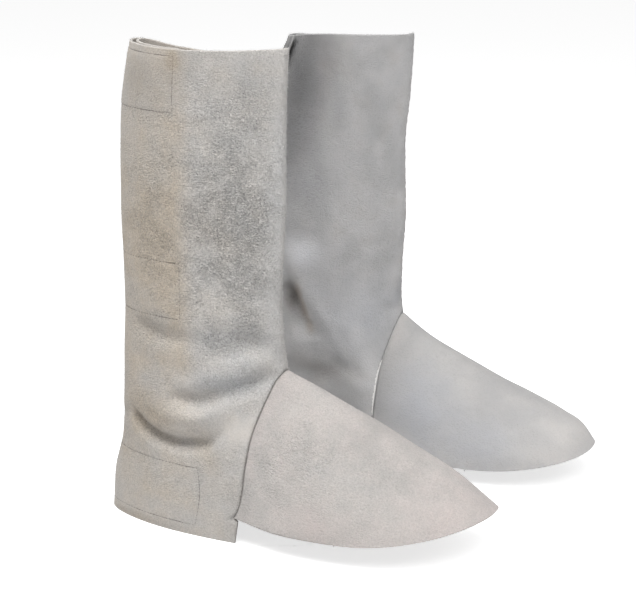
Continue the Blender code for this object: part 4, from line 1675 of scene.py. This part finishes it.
@dataclass
class EdgeFibres:
    """Loose fibres that stand out of the cut edges."""

    guard: Guard
    seed: int
    per_mm: float = 1.3
    scatter: float = 0.45  # of their directions
    frayed: int = 36  # points of the seam's foot that are frayed
    form: HairForm = HairForm(steps=4, bend=0.45, radius=0.085, taper=0.75)

    def edges(self) -> list[tuple[Array, Array, float]]:
        """Points along each cut edge, the direction out of the edge, and the length of its fibres.

        Returns:
            One tuple for each edge.
        """
        guard = self.guard
        turns = np.linspace(UNDER_EDGE + 2, OVER_EDGE - 1, 700)
        around = []
        for height, down, longest in ((HEIGHT, 1.0, 1.0), (0.9, -1.0, 0.7)):
            tall = np.full_like(turns, height)
            points = guard.panel_point(turns, tall, lap_depth(turns) + 0.5 * WALL)
            out = 0.55 * guard.panel_normal(turns, tall)
            out[:, 2] += 0.8 * down if down > 0 else 0.05
            around.append((points, unit(out), longest))
        tall = np.linspace(2, HEIGHT - 1, 500)
        turn = np.full_like(tall, OVER_EDGE)
        points = guard.panel_point(turn, tall, 0.5 * WALL)
        before = guard.panel_point(turn - 1.5, tall, 0.5 * WALL)
        around.append((points, unit(points - before), 1.0))
        seam_turn, seam_height = seam_rows(260)
        seam_turn, seam_height = seam_turn[:120], seam_height[:120]
        for side in (1.0, -1.0):
            points = guard.panel_point(side * seam_turn, seam_height, -0.2)
            out = guard.panel_normal(side * seam_turn, seam_height)
            around.append((points, out, 1.2))
            behind = guard.panel_point(side * (seam_turn + 3.0), seam_height, -0.2)
            frayed = slice(0, self.frayed)
            back = unit(behind[frayed] - points[frayed])
            around.append((points[frayed] + 0.3 * back, unit(back + 0.5 * out[frayed]), 2.6))
        return around

    def shape(self) -> Shape:
        """The fibres: hairs that curl, at seeded places along the edges.

        Returns:
            The shape, in metres.
        """
        chance = np.random.default_rng(self.seed)
        starts, directions, lengths = [], [], []
        for points, out, longest in self.edges():
            place = line_place(points)
            count = int(place[-1] * self.per_mm)
            at = chance.uniform(0, place[-1], count)
            starts.append(np.stack([np.interp(at, place, points[:, i]) for i in range(3)], 1))
            direction = np.stack([np.interp(at, place, out[:, i]) for i in range(3)], 1)
            directions.append(unit(direction + chance.normal(0, self.scatter, (count, 3))))
            lengths.append(longest * (0.5 + 1.3 * chance.uniform(0, 1, count) ** 3))
        start, direction, length = np.concatenate(starts), np.concatenate(directions), np.concatenate(lengths)
        start = start + chance.normal(0, 0.25, start.shape)
        curl = unit(np.cross(direction, chance.normal(0, 1, start.shape)))
        return hairs(self.guard, start, direction, curl, length, self.form)


@dataclass
class NapFibres:
    """Short fibres of the nap that stand out of the leg panel's face."""

    guard: Guard
    seed: int
    count: int
    longest: float
    scatter: float = 0.7  # of their directions
    front_share: float = 0.55  # of the fibres, in a bell along the front
    front_turn: float = 6.0
    front_reach: float = 12.0

    def shape(self) -> Shape:
        """The fibres: hairs that lean and curl, at seeded places, denser along the front.

        Returns:
            The shape, in metres.
        """
        chance = np.random.default_rng(self.seed)
        turn = chance.uniform(-120.0, OVER_EDGE - 2, self.count)
        in_front = chance.uniform(0, 1, self.count) < self.front_share
        turn = np.where(in_front, chance.normal(self.front_turn, self.front_reach, self.count), turn)
        height = chance.uniform(2.0, HEIGHT - 2, self.count)
        on_leather = np.abs(turn) > notch_turn(height) + 3.0
        on_leather |= height > NOTCH_TOP + 3.0
        turn, height = turn[on_leather], height[on_leather]
        normal = self.guard.panel_normal(turn, height)
        start = self.guard.panel_point(turn, height, lap_depth(turn) + 0.1)
        direction = unit(normal + chance.normal(0, self.scatter, normal.shape))
        curl = unit(np.cross(direction, chance.normal(0, 1, normal.shape)))
        length = self.longest * (0.4 + 0.6 * chance.uniform(0, 1, len(turn)))
        form = HairForm(steps=3, bend=0.5, radius=0.085 * self.longest, taper=0.7)
        return hairs(self.guard, start, direction, curl, length, form)


@dataclass
class SeamAllowance:
    """The raw edge of the seam allowance, where it shows along the left guard's seam."""

    guard: Guard
    from_share: float = 0.22
    to_share: float = 0.6
    width: float = 1.7
    thickness: float = 0.5
    seam_count: int = 240

    def shape(self) -> Shape:
        """A thin flat strip along the leg panel's side of the seam, tapered at both ends.

        Returns:
            The shape, in metres.
        """
        guard = self.guard
        turns, heights = seam_rows(self.seam_count)
        use = slice(int(self.seam_count * self.from_share), int(self.seam_count * self.to_share))
        turns, heights = -turns[use], heights[use]
        share = np.linspace(0, 1, len(turns))
        torn = 1 + 0.3 * np.sin(31 * share) * np.sin(13 * share) + 0.2 * np.sin(97 * share)
        width = self.width * np.sin(math.pi * share).clip(0) ** 0.4 * torn
        normal = guard.panel_normal(turns, heights)
        points = guard.panel_point(turns, heights)
        along = unit(np.gradient(points, axis=0))
        aside = unit(np.cross(normal, along))
        middle = len(points) // 2
        inwards = guard.panel_point(-95.0, 70.0) - points[middle]  # from the seam into the leg panel
        aside = aside * math.copysign(1.0, float((aside[middle] * inwards).sum()))
        centre = points + aside * (0.15 + 0.5 * width[:, None]) + normal * 0.35
        angle = np.linspace(0, 2 * math.pi, 8, endpoint=False)
        ring = np.cos(angle)[None, :, None] * (0.5 * width[:, None, None]) * aside[:, None]
        ring = ring + np.sin(angle)[None, :, None] * (0.5 * self.thickness) * normal[:, None]
        grid = centre[:, None] + ring
        numbers = np.arange(grid.size // 3).reshape(grid.shape[:2])
        numbers = np.concatenate([numbers, numbers[:, :1]], 1)
        return Shape(points=guard.placed(grid.reshape(-1, 3)), faces=[grid_quads(numbers)], values={})


def dressed(shape: Shape, name: str, material: Material) -> bpy.types.Object:
    """A piece of that shape, riding on the root body, with that material.

    Args:
        shape: of the piece.
        name: of the piece.
        material: its looks.

    Returns:
        The piece.
    """
    piece = shape.made(name, material)
    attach(piece, "root")
    return piece


@dataclass
class LegGuard:
    """One leg guard: its pieces and how they are dressed."""

    panel: LegPanel
    vamp: Vamp
    suede: Suede
    vamp_suede: Suede
    fibre: Thread
    nap: NapFibres
    edge: EdgeFibres

    def build(self, groups: Groups, finishes: dict[str, Material]) -> None:
        """Args:
            groups: the shared node groups.
            finishes: materials by the names of their finishes.
        """
        panel, vamp, guard = self.panel, self.vamp, self.panel.guard
        name = guard.name
        leather = self.suede.material(groups)
        panel_piece = dressed(panel.shape(), f"{name}_panel_leather", leather)
        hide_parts(f"{name}_leg_panel")
        leather = self.vamp_suede.material(groups)
        vamp_piece = dressed(vamp.shape(), f"{name}_vamp_leather", leather)
        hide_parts(f"{name}_vamp")
        thread, fibre = finishes[STITCH_THREAD.name], self.fibre.material(groups)
        details = [(f"stitches_{strip.name}", Stitches(guard, strip), thread) for strip in STRIPS]
        details += [("edge_fibres", self.edge, fibre), ("nap_fibres", self.nap, fibre)]
        if guard.side is Side.LEFT:
            details.append(("seam_allowance", SeamAllowance(guard), finishes[RAW_LEATHER.name]))
        trims = [
            dressed(detail.shape(), f"{name}_{label}", material)
            for label, detail, material in details
        ]
        for strip in STRIPS:
            for kind, cloth in ((Fastening.HOOK, HOOK_CLOTH), (Fastening.LOOP, LOOP_CLOTH)):
                node = f"{name}_{kind.name.lower()}_tape_{strip.name}"
                piece = dressed(Tape(guard, strip, kind).shape(), f"{node}_cloth", finishes[cloth.name])
                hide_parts(node)


# Studio


WHITE = grey(1.0)


@dataclass(frozen=True)
class SoftBox:
    """A square area light that faces a point of the pair."""

    name: str
    place: Place
    size: float
    power: float
    colour: Colour = WHITE
    target: Place = (0.0, 0.0, 0.17)

    def build(self) -> None:
        """Hangs the light."""
        lamp = bpy.data.lights.new(self.name, "AREA")
        lamp.shape = "SQUARE"
        lamp.size = self.size
        lamp.energy = self.power
        lamp.color = self.colour
        made = linked(self.name, lamp)
        made.location = self.place
        made.rotation_euler = (Vector(self.target) - Vector(self.place)).to_track_quat("-Z", "Y").to_euler()


@dataclass(frozen=True)
class Studio:
    """A plain pale floor, a white surround, soft boxes and the camera at the photograph's angle."""

    lights: tuple[SoftBox, ...]
    surround: float = 0.3
    floor_colour: Colour = grey(0.75)
    floor_glow: float = 0.7
    lens: float = 115.28
    camera_place: Place = (0.5022, -1.4222, 0.5517)
    camera_angles: tuple[float, float, float] = (75.28, 0.0, 20.55)  # degrees about x, y and z

    def build(self) -> None:
        """Sets up everything round the pair."""
        for light in self.lights:
            light.build()
        self.world()
        self.floor()
        camera = bpy.data.cameras.new("camera")
        camera.lens = self.lens
        camera.sensor_width = 36.0
        camera.clip_end = 50.0
        made = linked("camera", camera)
        made.location = self.camera_place
        made.rotation_euler = tuple(math.radians(angle) for angle in self.camera_angles)
        bpy.context.scene.camera = made
        bpy.context.scene.view_settings.view_transform = "Standard"

    def world(self) -> None:
        """A surround that shows white and lights the pair softly."""
        world = bpy.data.worlds.new("surround")
        world.use_nodes = True
        bpy.context.scene.world = world
        nodes = Nodes(world.node_tree)
        background = world.node_tree.nodes["Background"]
        background.inputs["Color"].default_value = opaque(WHITE)
        seen = nodes.add("ShaderNodeLightPath").outputs["Is Camera Ray"]
        strength = nodes.math("MULTIPLY_ADD", seen, 1.0 - self.surround, self.surround)
        nodes.tree.links.new(strength, background.inputs["Strength"])

    def floor(self) -> None:
        """A wide pale floor, which shows a little lighter than it is lit."""
        mesh = bpy.data.meshes.new("floor")
        reach = 8.0
        corners = [(-reach, -reach, 0), (reach, -reach, 0), (reach, reach, 0), (-reach, reach, 0)]
        mesh.from_pydata(corners, [], [(0, 1, 2, 3)])
        made = linked("floor", mesh)
        fixed = {"Roughness": 0.9, "Specular IOR Level": 0.1, "Emission Color": opaque(WHITE)}
        nodes = Finish("pale floor", {**fixed, "Base Color": opaque(self.floor_colour)})
        seen = nodes.add("ShaderNodeLightPath").outputs["Is Camera Ray"]
        glow = nodes.product(seen, self.floor_glow)
        nodes.tree.links.new(glow, nodes.shader.inputs["Emission Strength"])
        mesh.materials.append(nodes.material)


STUDIO = Studio(
    lights=(
        SoftBox(name="overhead", place=(0.0, -0.75, 1.75), size=0.9, power=19.0),
        SoftBox(name="left box", place=(-1.2, -0.5, 1.35), size=0.7, power=7.0, colour=(1.0, 0.985, 0.965)),
        SoftBox(name="right box", place=(1.3, -0.3, 1.2), size=0.8, power=4.0, colour=(0.98, 0.99, 1.0)),
        SoftBox(name="front box", place=(0.8, -1.1, 1.35), size=0.6, power=8.0),
    ),
)

GUARDS = (
    LegGuard(
        panel=LegPanel(RIGHT, cut=(0.587, 0.36), area=0.1445),
        vamp=Vamp(
            RIGHT,
            cut=(0.25, 0.215),
            area=0.032,
            tones=(-0.1, 0.4),
            marks=rows(
                Mark,  # x, z, over, up, tone, shag, warm
                (165, 72, 22, 22, -0.2, 0.25),
                (136, 42, 18, 26, 0.75, 0.2, -0.3),
                (205, 62, 45, 20, -0.4, 0, -0.35),
                (198, 90, 28, 16, -0.4),
                (188, 30, 11, 15, 0, 0, 0.7),
                (282, 45, 30, 30, -0.2, 0, 0.7),
                (240, 95, 36, 20, 0, 0, 0.5),
                (155, 30, 10, 10, 0, 0, 0.3),
            ),
        ),
        suede=RIGHT_SUEDE,
        vamp_suede=RIGHT_VAMP_SUEDE,
        fibre=RIGHT_FIBRE,
        nap=NapFibres(RIGHT, seed=21, count=14000, longest=1.4),
        edge=EdgeFibres(RIGHT, seed=11),
    ),
    LegGuard(
        panel=LegPanel(LEFT, cut=(0.587, 0.36), area=0.1389),
        vamp=Vamp(
            LEFT,
            cut=(0.25, 0.215),
            area=0.031,
            tones=(0.1, 1.2),
            marks=rows(
                Mark,  # x, z, over, up, tone, shag, warm
                # painted shade beside the seam
                (124, 66, 8, 36, -0.9, 0, -0.5),
                (160, 60, 28, 34, 0, 0, -1.1),
                (212, 34, 34, 20, 0, 0, -0.8),
                (200, 92, 40, 16, 0, 0, 0.4),
                (285, 45, 32, 30, 0.3, 0, 0.5),
            ),
        ),
        suede=LEFT_SUEDE,
        vamp_suede=LEFT_VAMP_SUEDE,
        fibre=LEFT_FIBRE,
        nap=NapFibres(LEFT, seed=22, count=6000, longest=0.6),
        edge=EdgeFibres(LEFT, seed=12),
    ),
)


def main() -> None:
    """Builds both guards and the studio round them."""
    logging.basicConfig(level=logging.INFO, format="%(name)s: %(message)s")
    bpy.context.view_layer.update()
    groups = Groups()
    finishes = {f.name: f.material(groups) for f in (HOOK_CLOTH, LOOP_CLOTH, STITCH_THREAD, RAW_LEATHER)}
    for guard in GUARDS:
        guard.build(groups, finishes)
    STUDIO.build()


if __name__ == "__main__":
    main()
